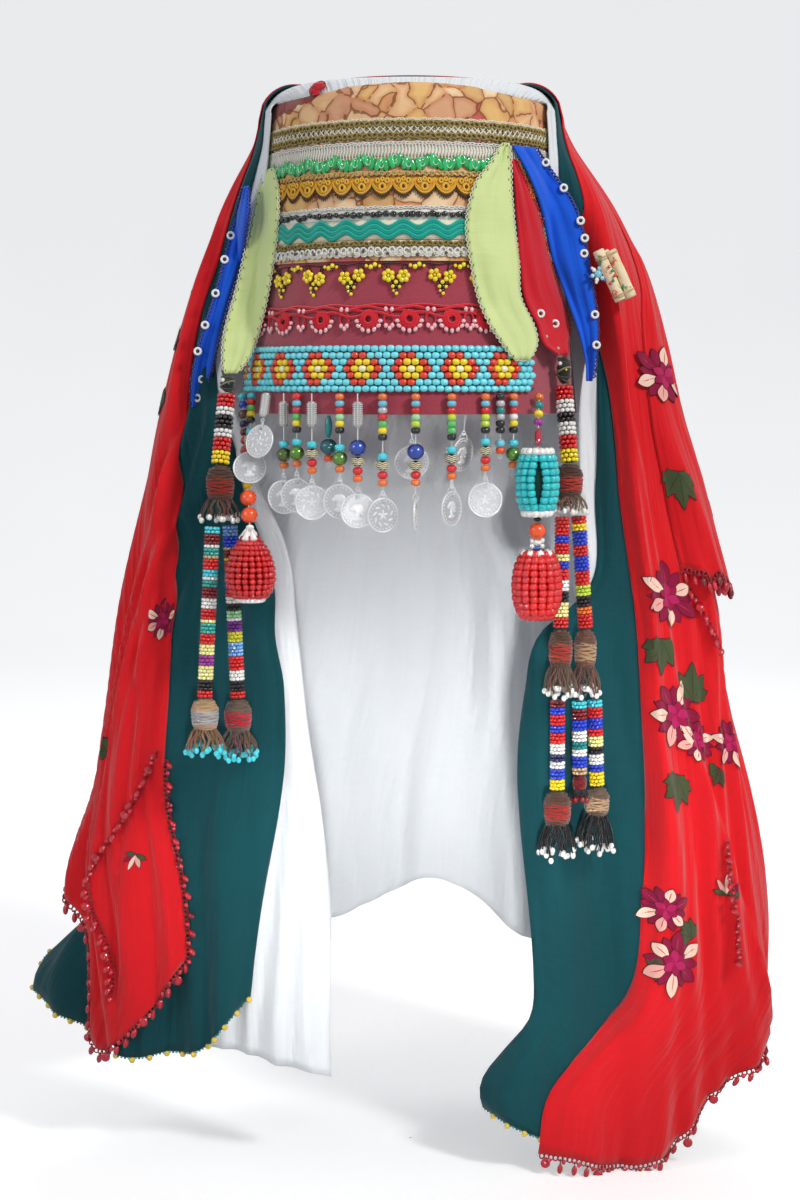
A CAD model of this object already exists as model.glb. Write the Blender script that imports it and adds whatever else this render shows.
# %% [markdown]
# # A coin headdress, piece by piece
#
# A felt cap is covered in front with rows of edging, a woven bead band and a fringe of coins.
# Three scarves hang behind it, and beaded ropes with tassels hang at both sides. The packed
# model gives the frame: its solids say where each piece is, and this lesson dresses them.

# %% Load the frame
import math
import bpy
import bmesh
import numpy as np
from mathutils import Matrix, Vector


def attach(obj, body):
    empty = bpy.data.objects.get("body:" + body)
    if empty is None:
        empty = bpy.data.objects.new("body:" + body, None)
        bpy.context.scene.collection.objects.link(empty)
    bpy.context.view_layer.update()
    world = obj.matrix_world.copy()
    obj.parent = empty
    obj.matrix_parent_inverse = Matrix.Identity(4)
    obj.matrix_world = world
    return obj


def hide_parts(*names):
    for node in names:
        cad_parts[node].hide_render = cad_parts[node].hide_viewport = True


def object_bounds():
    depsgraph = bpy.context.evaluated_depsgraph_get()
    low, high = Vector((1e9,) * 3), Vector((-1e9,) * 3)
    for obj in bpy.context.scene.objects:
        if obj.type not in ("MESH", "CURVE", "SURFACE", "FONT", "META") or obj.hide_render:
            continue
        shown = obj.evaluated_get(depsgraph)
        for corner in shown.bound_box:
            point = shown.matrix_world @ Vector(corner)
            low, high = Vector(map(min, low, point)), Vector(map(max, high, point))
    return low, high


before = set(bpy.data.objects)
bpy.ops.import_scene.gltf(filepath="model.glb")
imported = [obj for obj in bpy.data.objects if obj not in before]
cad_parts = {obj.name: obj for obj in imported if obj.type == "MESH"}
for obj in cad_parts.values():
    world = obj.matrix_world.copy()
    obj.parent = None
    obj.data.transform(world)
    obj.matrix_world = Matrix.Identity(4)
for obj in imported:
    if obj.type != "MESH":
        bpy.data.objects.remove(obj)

cad_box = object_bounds()
MM = 0.001
chance = np.random.default_rng(11)
print("frame:", len(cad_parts), "solids, from",
      [[round(x, 3) for x in corner] for corner in cad_box])

# %% [markdown]
# ## Shader maths as plain arithmetic
#
# A pattern is a sum on coordinates, and it reads best as one. A small class wraps a socket, so
# that + - * < > on it add Math nodes, and one method makes every other node: its settings go in
# first, and then what its sockets get.

# %% Sockets and finishes
class Wire:
    """One output socket, which Python's operators work on by adding Math nodes."""
    def __init__(self, finish, node, out=0):
        self.finish, self.node, self.socket = finish, node, node.outputs[out]

    def out(self, name):
        return Wire(self.finish, self.node, name)

    def math(self, operation, *values):
        return self.finish.add("ShaderNodeMath", {"operation": operation},
                               dict(enumerate(values)))

    def __add__(self, b): return self.math("ADD", self, b)
    def __sub__(self, b): return self.math("SUBTRACT", self, b)
    def __mul__(self, b): return self.math("MULTIPLY", self, b)
    def __gt__(self, b): return self.math("GREATER_THAN", self, b)
    def __lt__(self, b): return self.math("LESS_THAN", self, b)
    def sine(self): return self.math("SINE", self)
    def smaller(self, b): return self.math("MINIMUM", self, b)
    def bigger(self, b): return self.math("MAXIMUM", self, b)


class Finish:
    """One material, whose shader is called its skin."""
    def __init__(self, name, **skin):
        self.material = bpy.data.materials.new(name)
        self.material.use_nodes = True
        self.tree = self.material.node_tree
        self.skin = self.tree.nodes["Principled BSDF"]
        self.set(**skin)

    def feed(self, socket, value):
        if isinstance(value, Wire):
            self.tree.links.new(value.socket, socket)
        else:
            socket.default_value = value

    def set(self, **sockets):
        for name, value in sockets.items():
            self.feed(self.skin.inputs[name.replace("_", " ")], value)

    def add(self, kind, settings={}, sockets={}, out=0):
        node = self.tree.nodes.new(kind)
        for key, value in settings.items():
            if key == "stops":
                while len(node.color_ramp.elements) < len(value):
                    node.color_ramp.elements.new(1)
                for stop, (place, colour) in zip(node.color_ramp.elements, value):
                    stop.position, stop.color = place, colour
            else:
                setattr(node, key, value)
        for key, value in sockets.items():
            self.feed(node.inputs[key], value)
        return Wire(self, node, out)

    def place(self):
        return self.add("ShaderNodeTexCoord", out="Object")

    def uv(self):
        return self.add("ShaderNodeTexCoord", out="UV")

    def tint(self):
        return self.add("ShaderNodeAttribute", {"attribute_name": "tint"}, out="Color")

    def height(self, place):
        """A place's Z; its X and Y are other outputs of the same node."""
        return self.add("ShaderNodeSeparateXYZ", {}, {0: place}, "Z")

    def noise(self, place, scale, detail=2.0, roughness=0.5):
        return self.add("ShaderNodeTexNoise", {},
                        {"Vector": place, "Scale": scale, "Detail": detail,
                         "Roughness": roughness})

    def mix(self, factor, a, b, how="MIX"):
        return self.add("ShaderNodeMix", {"data_type": "RGBA", "blend_type": how},
                        {0: factor, 6: a, 7: b}, out=2)

    def ramp(self, value, *stops):
        return self.add("ShaderNodeValToRGB", {"stops": stops}, {0: value})

    def bump(self, height, distance, strength):
        normal = self.add("ShaderNodeBump", {},
                          {"Height": height, "Distance": distance, "Strength": strength})
        self.set(Normal=normal)


def dye(r, g, b):
    """A colour as it looks, 0 to 255, as the linear numbers that shaders use."""
    def linear(v):
        v = v / 255
        return v / 12.92 if v <= 0.04045 else ((v + 0.055) / 1.055) ** 2.4
    return (linear(r), linear(g), linear(b), 1.0)


def toned(colour, shade):
    """A colour made lighter or darker."""
    return [c * shade for c in colour[:3]]


def mottled(colour, low, spread):
    """A colour whose channels vary, each by itself."""
    return [c * (low + spread * chance.random()) for c in colour[:3]]


def near_one(spread):
    """A number that varies round 1, so that no two beads are quite the same."""
    return 1 + spread * (chance.random() - 0.5)


print("a white thread is", [round(x, 2) for x in dye(238, 236, 228)])

# %% [markdown]
# ## Small shapes, strewn
#
# Thousands of beads are one shape in many places. Each shape is made once by bmesh, and a heap
# collects the places, sizes and colours of its copies and joins them into one mesh. The colours
# go into an attribute that the bead's and the thread's finish reads.

# %% Shapes and heaps
def shape(bm):
    """The corners and faces of a bmesh, as a shape to strew. The bmesh is used up."""
    bmesh.ops.recalc_face_normals(bm, faces=bm.faces)
    bm.verts.index_update()
    corners = np.array([v.co[:] for v in bm.verts])
    faces = [[v.index for v in f.verts] for f in bm.faces]
    bm.free()
    return corners, faces


def turned(profile, steps=8):
    """A shape turned round the Z axis from a profile of (radius, height), closed at its ends."""
    bm = bmesh.new()
    line = [bm.verts.new((r, 0, z)) for r, z in profile]
    edges = [bm.edges.new(pair) for pair in zip(line, line[1:])]
    bmesh.ops.spin(bm, geom=line + edges, cent=(0, 0, 0), axis=(0, 0, 1), dvec=(0, 0, 0),
                   angle=math.tau, steps=steps, use_merge=True, use_duplicate=False)
    bmesh.ops.remove_doubles(bm, verts=bm.verts, dist=1e-5)
    rims = [e for e in bm.edges if e.is_boundary]
    if rims:
        bmesh.ops.holes_fill(bm, edges=rims)
    return shape(bm)


def basis(along, towards=(0.0, -1.0, 0.1)):
    """Three axes whose third runs along the given direction."""
    z = np.array(along, float) / np.linalg.norm(along)
    x = np.cross(towards, z)
    if np.linalg.norm(x) < 1e-6:
        x = np.cross((1.0, 0.0, 0.3), z)
    x /= np.linalg.norm(x)
    return np.column_stack([x, np.cross(z, x), z])


def ray(angle):
    """A level direction."""
    return np.array([math.cos(angle), math.sin(angle), 0])


def ring_angles(steps):
    return np.arange(steps) * math.tau / steps


def reach_along(line):
    """How far along a line of points each of them lies."""
    return np.concatenate([[0], np.cumsum(np.linalg.norm(np.diff(line, axis=0), axis=1))])


def spaced(line, step, values=None):
    """A line's points, or other values along it, a fixed step apart."""
    reach = reach_along(line)
    at = np.arange(step / 2, reach[-1], step)
    values = line if values is None else values
    return np.stack([np.interp(at, reach, values[:, k]) for k in range(3)], -1)


made_faces = {}


class Heap:
    """Copies of shapes, in millimetres, that become one mesh."""
    def __init__(self):
        self.corners, self.faces, self.tints, self.finish, self.count = [], [], [], [], 0

    def put(self, made, at=(0, 0, 0), colour=(1, 1, 1), size=1.0, axes=None, finish=0):
        corners, faces = made
        corners = corners * size
        if axes is not None:
            corners = corners @ axes.T
        self.corners.append(corners + np.array(at, float))
        self.faces.extend([[i + self.count for i in f] for f in faces])
        self.tints.append(np.tile([*colour[:3], 1.0], (len(corners), 1)))
        self.finish.extend([finish] * len(faces))
        self.count += len(corners)

    def thread(self, runs, radius, colour=(1, 1, 1), closed=False, at=(0, 0, 0), sides=0,
               finish=0):
        self.put(cord(runs, radius, closed, sides), at, colour, finish=finish)

    def piece(self, name, slot, finishes, *nodes):
        corners = np.concatenate(self.corners) * MM
        mesh = bpy.data.meshes.new(name)
        mesh.from_pydata(corners.tolist(), [], self.faces)
        tint = mesh.color_attributes.new(name="tint", type="FLOAT_COLOR", domain="POINT")
        tint.data.foreach_set("color", np.concatenate(self.tints).ravel())
        mesh.polygons.foreach_set("use_smooth", [True] * len(self.faces))
        mesh.polygons.foreach_set("material_index", self.finish)
        settle(name, mesh, slot, finishes, *nodes)


def settle(name, mesh, slot, finishes, *nodes):
    """Puts a finished mesh on the headdress, in the place of the solids that it stands for."""
    for finish in finishes:
        mesh.materials.append(finish.material)
    mesh.validate()
    piece = bpy.data.objects.new(name, mesh)
    bpy.context.scene.collection.objects.link(piece)
    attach(piece, "root")
    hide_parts(*nodes)
    made_faces[name] = len(mesh.loop_triangles) or sum(len(p.vertices) - 2
                                                       for p in mesh.polygons)
    print(f"{name}: {made_faces[name]} triangles")
    return piece


def cord(runs, radius, closed, sides):
    """Cords along runs of points in millimetres, as one shape. sides is the bevel's detail."""
    line = bpy.data.curves.new("cord", "CURVE")
    line.dimensions = "3D"
    line.bevel_depth, line.bevel_resolution = radius, sides
    line.use_fill_caps = not closed
    for run in runs:
        spline = line.splines.new("POLY")
        spline.points.add(len(run) - 1)
        spline.points.foreach_set("co", np.column_stack([run, np.ones(len(run))]).ravel())
        spline.use_cyclic_u = closed
    holder = bpy.data.objects.new("cord", line)
    bpy.context.scene.collection.objects.link(holder)
    mesh = bpy.data.meshes.new_from_object(
        holder.evaluated_get(bpy.context.evaluated_depsgraph_get()))
    bm = bmesh.new()
    bm.from_mesh(mesh)
    bpy.data.objects.remove(holder)
    bpy.data.curves.remove(line)
    bpy.data.meshes.remove(mesh)
    return shape(bm)


def ball(rings=5, around=8):
    bm = bmesh.new()
    bmesh.ops.create_uvsphere(bm, u_segments=around, v_segments=rings, radius=1)
    return shape(bm)


pearl = ball()
seed = turned([(0.3, -0.5), (0.8, -0.5), (1, -0.2), (1, 0.2), (0.8, 0.5), (0.3, 0.5)], 8)
print("a seed bead has", len(seed[1]), "faces")

# %% [markdown]
# ## Where cloth hangs
#
# The scarves lie over the cap's crown and hang from its shoulder in long folds. A cloth
# simulation could drop them, but the folds and hems of the real ones are known, so each scarf
# is a grid whose every corner is placed by the same few tables that the solids come from:
# heights, widths, folds, front edges and hems. Finer creases are added on top.

# %% The forms' tables
form = np.array([
    [-420, 165, 166, 134, 52], [-345, 170, 189, 131, 48], [-308, 172, 193, 128, 46],
    [-257, 172, 188, 124, 45], [-217, 166, 180, 121, 44], [-160, 157, 165, 117, 43],
    [-104, 147, 157, 113, 42], [-37, 131, 140, 107, 40], [0, 122, 128, 103, 38],
    [40, 111, 118, 98, 44], [72, 101, 109, 93, 54], [99, 91.6, 98, 89, 68],
    [129, 84.5, 87, 84, 80], [146, 79.6, 80, 79.4, 79], [158, 76.9, 76.9, 76.9, 76.9]])
folds = [(-112, 5, 16, 60, -120), (-64, 9, 20, 90, -160), (-26, 8, 17, 60, -200),
         (8, 9, 16, 70, -180), (40, 8, 16, 60, -200), (70, 9, 17, 90, -160),
         (104, 6, 14, 60, -120)]
cap_h, cap_top_r, shoulder_r, drape_gap = 158, 75, 12, 2.4
crown_z, crown_flat_r, dome_h = 170, 63, 2
# the crown's rows start spread over 70 degrees, and the cloth lies closer there than it hangs
crown_spread, crown_lift, crown_rim = 70, 0.45, 0.16
# a layer keeps off the one under it; its edge comes down to it over some degrees of turn
layer_gap, edge_blend, edge_blend_on_cap, crown_blend = 1.1, 4, 8, 9
# the front edges lie on the cap from the first height up, and wholly from the second
hold_from, hold_full = 20, 70
curl_limit = 0.2


def smooth(table, x, k=1):
    """A smooth curve through column k of a table, level past both ends."""
    table = np.asarray(table, float)
    xs, ys = table[:, 0], table[:, k]
    at = np.clip(x, xs[0], xs[-1])
    i = np.clip(np.searchsorted(xs, at, side="right") - 1, 0, len(xs) - 2)
    a, b = np.maximum(np.arange(len(xs)) - 1, 0), np.minimum(np.arange(len(xs)) + 1, len(xs) - 1)
    slopes = (ys[b] - ys[a]) / (xs[b] - xs[a])
    span = xs[i + 1] - xs[i]
    s = (at - xs[i]) / span
    return (ys[i] * (1 + 2 * s) * (1 - s) ** 2 + slopes[i] * span * s * (1 - s) ** 2
            + ys[i + 1] * s * s * (3 - 2 * s) + slopes[i + 1] * span * s * s * (s - 1))


def hump(x):
    return np.where(abs(x) >= 1, 0, (1 + np.cos(np.pi * np.clip(x, -1, 1))) / 2)


def below(z, start, end):
    s = np.clip((start - z) / (start - end), 0, 1)
    return s * s * (3 - 2 * s)


def cap_r(z):
    return 91 - 16 * np.asarray(z, float) / cap_h


def on_cap(turn, z, lift):
    """A point of the cap's front: degrees from the middle, height, and how far it stands off."""
    t, r = np.radians(turn), cap_r(z) + lift
    return np.stack(np.broadcast_arrays(r * np.sin(t), -r * np.cos(t), z), -1)


print("the cap is", 2 * cap_r(0), "mm wide at its rim and", 2 * cap_r(cap_h), "at its top")


# %% Points of a scarf
def crown_point(turn, edge_turn, start_r, s, off):
    start = np.radians(np.sign(turn + 1e-9) * (180 - crown_spread * abs(turn) / edge_turn))
    t = np.radians(turn)
    x = start_r * np.sin(start) * (1 - s) + (cap_top_r + drape_gap) * np.sin(t) * s
    y = start_r * np.cos(start) * (1 - s) + (cap_top_r + drape_gap) * np.cos(t) * s
    r = np.hypot(x, y)
    bend = shoulder_r + drape_gap
    lean = np.clip((r - crown_flat_r) / bend, 0, 1)
    height = np.where(r <= crown_flat_r,
                      crown_z + drape_gap + dome_h * (1 - (r / crown_flat_r) ** 2),
                      cap_h + np.sqrt(np.maximum(0, bend ** 2 - (r - crown_flat_r) ** 2)))
    return np.stack([x + x / r * lean * off, y + y / r * lean * off,
                     height + np.sqrt(1 - lean ** 2) * off], -1)


def side_point(turn, z, off, flare):
    a = np.where(turn < 0, smooth(form, z, 1), smooth(form, z, 2))
    b = np.where(abs(turn) < 90, smooth(form, z, 3), smooth(form, z, 4))
    t = np.radians(turn)
    away = np.stack([b * np.sin(t), a * np.cos(t)], -1)
    away /= np.linalg.norm(away, axis=-1, keepdims=True)
    far = off + sum(depth * hump((turn - at) / half) * below(z, start, full)
                    for at, depth, half, start, full in [*folds, flare])
    return np.stack([a * np.sin(t) + away[..., 0] * far,
                     b * np.cos(t) + away[..., 1] * far, z + 0 * t], -1)


def pleats(turn, z):
    """Long soft pleats that the three layers share, sharper in their valleys."""
    a = np.radians(turn + 5 * np.sin(z * 0.011 + 0.6) + 3 * np.sin(z * 0.021 + turn * 0.04))
    big = abs(np.sin(a * 7.3 + 0.4)) ** 0.8
    mid = abs(np.sin(a * 14.6 + 0.9 + 0.8 * np.sin(z * 0.013))) ** 0.8
    mid = mid * (0.6 + 0.4 * np.sin(a * 3))
    b = a + 0.05 * np.sin(z * 0.017 + a * 5)
    fine = ((0.5 + 0.5 * np.sin(b * 47 + 1.6 * np.sin(z * 0.01 + a * 2))) ** 1.6
            * (0.55 + 0.45 * np.sin(a * 5.3 + z * 0.008)))
    deeper = below(z, 120, -100) * (1 + 0.5 * below(z, -60, -320))
    return (4.2 * big + 2.6 * mid - 5.4) * deeper + 3.8 * (fine - 0.25) * below(z, 150, 20)


class Scarf:
    """Where one scarf lies: its front edges, its hem and how far it stands off the cap."""
    def __init__(self, edges, hem, off, start_r, flare, creases, under=None, cliffs=(), tuck=0):
        self.edges, self.hem, self.off = (np.array(t, float) for t in (edges, hem, off))
        self.start_r, self.flare, self.creases = start_r, flare, creases
        self.under, self.cliffs, self.tuck = under, cliffs, tuck

    def side(self, u, w):
        """A point of the hanging part: u across from edge to edge, w down to the hem."""
        low = smooth(self.hem, self.hem[0, 0] * (1 - u) + self.hem[-1, 0] * u)
        low = low + 1.6 * np.sin(u * 61) + 1.1 * np.sin(u * 103 + 1)
        z = cap_h * (1 - w) + low * w
        curl = np.clip(w * 8 - 7, 0, 1) ** 2 * (1.5 * np.sin(u * 83) + 1.0 * np.sin(u * 47 + 2))
        # the curls of the layers lean away from one another, so that no hem cuts through the next
        curl = np.maximum(curl, -curl_limit) if self.under else np.minimum(curl, curl_limit)
        return self.at(smooth(self.edges, z, 1) * (1 - u) + smooth(self.edges, z, 2) * u,
                       z, curl)

    def lift(self, turn, z):
        """How far the cloth stands off, with its front edges tucked to what is under them."""
        own = smooth(self.off, z) + 0.5 + sum(
            deep * np.sin(np.radians(turn * many + slant * (z - 158) + shift))
            * below(z, start, end) for deep, many, slant, shift, start, end in self.creases)
        for deep, width, line in self.cliffs:
            own = own + deep * np.clip((turn - smooth(line, z)) / width + 0.5, 0, 1) ** 2
        near = np.minimum(turn - smooth(self.edges, z, 1), smooth(self.edges, z, 2) - turn)
        lies_on_cap = below(-z, -hold_from, -hold_full)
        blend = edge_blend if self.under else edge_blend + edge_blend_on_cap * lies_on_cap
        free = np.clip(near / blend, 0, 1)
        free = free * free * (3 - 2 * free)
        if self.under is None:
            a = np.where(turn < 0, smooth(form, z, 1), smooth(form, z, 2))
            t = np.radians(turn)
            gap = np.hypot(a * np.sin(t), smooth(form, z, 4) * np.cos(t)) - cap_r(z) - self.tuck
            return own - np.maximum(gap, 0) * lies_on_cap * (1 - free)
        beneath = self.under.lift(turn, z) + layer_gap
        return np.maximum(own * free + beneath * (1 - free), beneath)

    def at(self, turn, z, extra=0.0):
        """The point at a turn from the back and a height."""
        return side_point(turn, z, self.lift(turn, z) + pleats(turn, z) + extra, self.flare)

    def turn_of(self, x, z):
        """The turn, in front of the sides, where the cloth at a height has this x."""
        turn = np.linspace(86, 160, 300) * np.sign(x)
        return float(turn[np.argmin(abs(self.at(turn, np.full(300, float(z)))[:, 0] - x))])

    def crown(self, u, s):
        """A point over the crown: u across, s from the back of the crown to the shoulder."""
        left, right = smooth(self.edges, cap_h, 1), smooth(self.edges, cap_h, 2)
        turn = left * (1 - u) + right * u
        rim = np.clip(1 - s / crown_rim, 0, 1) ** 2
        low = -1.7 if self.under is None else crown_lift * smooth(self.under.off, cap_h) + 0.8
        off = (crown_lift * smooth(self.off, cap_h) + 0.5) * (1 - rim) + low * rim
        near = np.clip(np.minimum(turn - left, right - turn) / crown_blend, 0, 1)
        joined = s * (1 - near) + s ** 4 * near
        off = self.lift(turn, cap_h + 0 * turn) * joined + off * (1 - joined)
        return crown_point(turn, np.where(turn < 0, -left, right), self.start_r, s, off)


# each scarf: its front edges by height, its hem by turn, how far it stands off by height, where
# its rows start on the crown, a flare, its creases, the layer under it, and sudden folds
no_flare = (0, 0, 1, 0, -1)
white = Scarf(
    [(-345, -165, 136), (-252, -165, 140), (-160, -159, 145), (-104, -155, 145),
     (-75, -152, 144), (-40, -142, 141), (0, -130, 136), (17, -123, 133), (50, -113, 124),
     (99, -112, 122), (129, -113, 120), (146, -112, 117), (158, -111, 116)],
    [(-165, -362), (-150, -352), (-120, -336), (-60, -334), (-30, -326), (-16, -315),
     (-6, -300), (3, -293), (11, -300), (21, -325), (40, -338), (90, -345), (136, -330)],
    [(-420, 0), (158, 0)], 76, no_flare,
    [(0.8, 29, -0.16, 40, 20, -160), (1.8, 13, 0.16, 0, 20, -200)], None,
    [(2.4, 5, [(-300, 30), (60, 24)]), (2.4, -5, [(-300, -26), (60, -18)])], 2.0)
teal = Scarf(
    [(-395, -146, 163), (-380, -146, 167), (-364, -147, 168), (-346, -148, 164.5),
     (-326, -149, 160.5), (-305, -150, 160), (-199, -155, 161),
     (-147, -154, 158), (-120, -151, 155), (-90, -149, 141), (-44, -138, 136),
     (0, -126, 129.5), (50, -107, 123), (83, -104, 120), (113, -105, 119), (143, -107, 112),
     (158, -103, 107)],
    [(-150, -318), (-141, -346), (-128, -352), (-104, -350), (-80, -325), (-58, -292),
     (-30, -282), (0, -278), (30, -284), (60, -300), (90, -330), (120, -356), (142, -390),
     (156, -398), (167, -376)],
    [(-420, 5), (-200, 5), (-100, 5.5), (0, 8), (99, 8), (140, 3), (158, 1.6)], 57,
    (-79, 52, 19, -272, -332),
    [(0.8, 31, 0.12, 10, 20, -160), (2.2, 14, 0.12, 20, 40, -200)], white,
    [(4, 3, [(-380, 152), (-250, 149), (-120, 149), (-60, 141)]),
     (3.5, -3, [(-350, -141), (-250, -139), (-160, -141), (-100, -143)])])
red = Scarf(
    [(-400, -124, 157), (-367, -124, 156), (-317, -134, 143), (-262, -134, 139),
     (-207, -126, 135), (-153, -124, 132), (-46, -117, 130), (0, -108, 125),
     (50, -101, 123.5), (83, -101, 121), (113, -97, 115), (143, -93, 106), (158, -91, 101)],
    [(-136, -298), (-122, -346), (-108, -346), (-98, -292), (-88, -264), (-60, -260),
     (0, -256), (30, -268), (60, -292), (90, -326), (110, -363), (124, -395), (136, -409),
     (157, -398)],
    [(-420, 10.5), (-200, 10.5), (-100, 11.5), (0, 15.5), (99, 15.5), (140, 6), (158, 3.2)], 53,
    (-86, 9, 26, -200, -262), [(0.6, 27, -0.09, 75, 60, -140)], teal,
    [(5.5, 2.6, [(-400, 96), (-350, 101), (-250, 113), (-100, 121), (40, 119)]),
     (3, 3, [(-400, 140), (-300, 131), (-160, 128), (0, 124)]),
     (3.5, -3, [(-340, -116), (-250, -117), (-120, -113), (0, -108)])])
fold = Scarf(
    [(-92, 58, 114), (-40, 60, 114), (0, 62, 112), (50, 64, 107), (99, 66, 93), (158, 68, 84)],
    [(58, -66), (76, -84), (92, -92), (114, -84)],
    [(-420, 18), (-92, 18), (-40, 18.5), (0, 18.5), (99, 17.6), (140, 8.6), (158, 5.4)], 0,
    no_flare, [(0.7, 15, 0.13, 30, 60, -60), (0.5, 27, -0.09, 75, 20, -90)], red,
    [(2, 3, [(-92, 84), (40, 82), (99, 80)])])
print("the red scarf's left corner is at", np.round(red.side(0.0, 1.0), 1))

# %% [markdown]
# ## Camera, floor and light
#
# The headdress was photographed from straight in front, at the height of its rim and a little
# downwards. The floor is one pale bowl, turned from a profile, so that no horizon shows from any
# side. A warm key light and two large soft ones stand above, a narrow one below brightens the
# middle, and the pale surroundings fill the shadows.

# %% Camera
camera = bpy.data.cameras.new("camera")
camera.sensor_fit, camera.sensor_height, camera.lens = "VERTICAL", 36, 65.1
camera.clip_start, camera.clip_end = 0.05, 50
stand = bpy.data.objects.new("camera", camera)
stand.location = (-0.006, -1.2, 0.015)
degrees_down = 5.66
stand.rotation_euler = (math.radians(90 - degrees_down), 0, 0)
bpy.context.scene.collection.objects.link(stand)
bpy.context.scene.camera = stand
view = bpy.context.scene.view_settings
view.view_transform, view.look = "Standard", "None"
print("camera", [round(x, 3) for x in stand.location])

# %% Floor and light
floor_z = cad_box[0][2] - 0.003
flat_r, bend_r, wall_top = 2.2, 0.9, 3.4
bm = bmesh.new()
profile = [(0.001, 0), (flat_r, 0)] + [
    (flat_r + bend_r * math.sin(a), bend_r - bend_r * math.cos(a))
    for a in (math.radians(9 * k) for k in range(1, 11))] + [(flat_r + bend_r, wall_top)]
line = [bm.verts.new((r, 0, z + floor_z)) for r, z in profile]
bmesh.ops.spin(bm, geom=line + [bm.edges.new(p) for p in zip(line, line[1:])],
               cent=(0, 0, 0), axis=(0, 0, 1), dvec=(0, 0, 0), angle=math.tau, steps=64,
               use_merge=True, use_duplicate=False)
bmesh.ops.recalc_face_normals(bm, faces=bm.faces)
bmesh.ops.reverse_faces(bm, faces=bm.faces)
for face in bm.faces:
    face.smooth = True
mesh = bpy.data.meshes.new("floor")
bm.to_mesh(mesh)
floor = bpy.data.objects.new("floor", mesh)
bpy.context.scene.collection.objects.link(floor)
paper = Finish("pale_paper", Roughness=0.9, Emission_Strength=0.3)
paper.set(Base_Color=paper.mix(paper.noise(paper.place(), 3.0), dye(240, 240, 240),
                               dye(247, 247, 247)))
mesh.materials.append(paper.material)
floor.visible_diffuse = floor.visible_glossy = floor.visible_shadow = False

world = bpy.data.worlds.new("pale_room")
world.use_nodes = True
sky = world.node_tree.nodes["Background"]
sky.inputs["Color"].default_value = (0.93, 0.96, 1.0, 1)
sky.inputs["Strength"].default_value = 0.5
bpy.context.scene.world = world


def lamp(name, place, towards, size, power, colour=(1, 1, 1)):
    light = bpy.data.lights.new(name, "AREA")
    light.shape, light.size, light.energy, light.color = "DISK", size, power, colour
    holder = bpy.data.objects.new(name, light)
    holder.location = place
    holder.rotation_euler = (Vector(towards) - Vector(place)).to_track_quat("-Z", "Y").to_euler()
    bpy.context.scene.collection.objects.link(holder)
    return light


lamp("key", (1.2, -1.3, 1.2), (0, 0, -0.05), 0.4, 25, (1, 0.985, 0.96))
lamp("side", (-1.5, -1.0, 0.6), (0, 0, -0.1), 0.6, 5)
low = lamp("low", (0.05, -1.7, -0.3), (0.02, 0.15, -0.21), 0.1, 0.19)
low.spread = math.radians(15)
lamp("back", (0.2, 1.6, 1.6), (0, 0, 0), 1.2, 14)
print("floor at", round(floor_z, 3))

# %% [markdown]
# ## Woven cloth
#
# Muslin and crepe are plain weaves: warp and weft pass over and under one another. Two sine
# waves along the cloth's own map make that weave, and noise makes thicker threads and faint
# uneven dye. The map is in metres, so one number sets the pitch of the threads.

# %% Cloth finish
crease_depth, cloth_rough = 0.008, 0.8
muslin_thick, cotton_thick = 0.0008, 0.0012


def woven(name, light, dark, pitch, sheen, depth=0.00012, patch=14):
    """A cloth of two dyes: the weave's pitch and depth are in metres, and patch is a scale."""
    def streaks(across, down):
        stretched = finish.add("ShaderNodeMapping", {},
                               {"Vector": uv, "Scale": (across, down, 1)})
        return finish.noise(stretched, 1.0, 3)

    finish = Finish(name, Sheen_Weight=sheen, Sheen_Roughness=0.5, Specular_IOR_Level=0.25)
    uv = finish.uv()
    place = finish.place()
    flat = finish.height(uv)
    warp = (flat.out("X") * (math.tau / pitch)).sine()
    weft = (flat.out("Y") * (math.tau / pitch)).sine()
    weave = warp * weft * 0.5 + 0.5
    slub = streaks(60, 900)
    uneven = finish.noise(place, patch, 4)
    shade = weave * 0.25 + slub * 0.35 + uneven * 0.6 - 0.1
    finish.set(Base_Color=finish.mix(shade.bigger(0.0).smaller(1.0), dark, light),
               Roughness=weave * 0.1 + cloth_rough)
    finish.bump(weave + slub * 0.8 + streaks(70, 9) * (crease_depth / depth), depth, 0.5)
    return finish


white_cloth = woven("white_muslin", dye(238, 240, 242), dye(220, 224, 228), 0.0009, 0.2)
teal_cloth = woven("teal_crepe", dye(1, 80, 86), dye(0, 50, 58), 0.0009, 0.12, 0.00016)
red_cloth = woven("red_muslin", dye(234, 17, 30), dye(198, 7, 18), 0.0008, 0.25)
print("weave pitch of the red muslin: 0.8 mm")

# %% [markdown]
# ## The three scarves
#
# Each scarf is one grid, which bmesh makes flat, with a map. Its corners then move to where the
# cloth hangs: the first rows lie over the crown, and the others fall from the shoulder to the
# hem. A Solidify modifier gives the cloth its thickness.

# %% Hang a scarf
def cloth_grid(across, down, size=1):
    bm = bmesh.new()
    bm.loops.layers.uv.new("UVMap")
    bmesh.ops.create_grid(bm, x_segments=across, y_segments=down, size=size, calc_uvs=True)
    bm.verts.index_update()
    return bm


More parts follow.
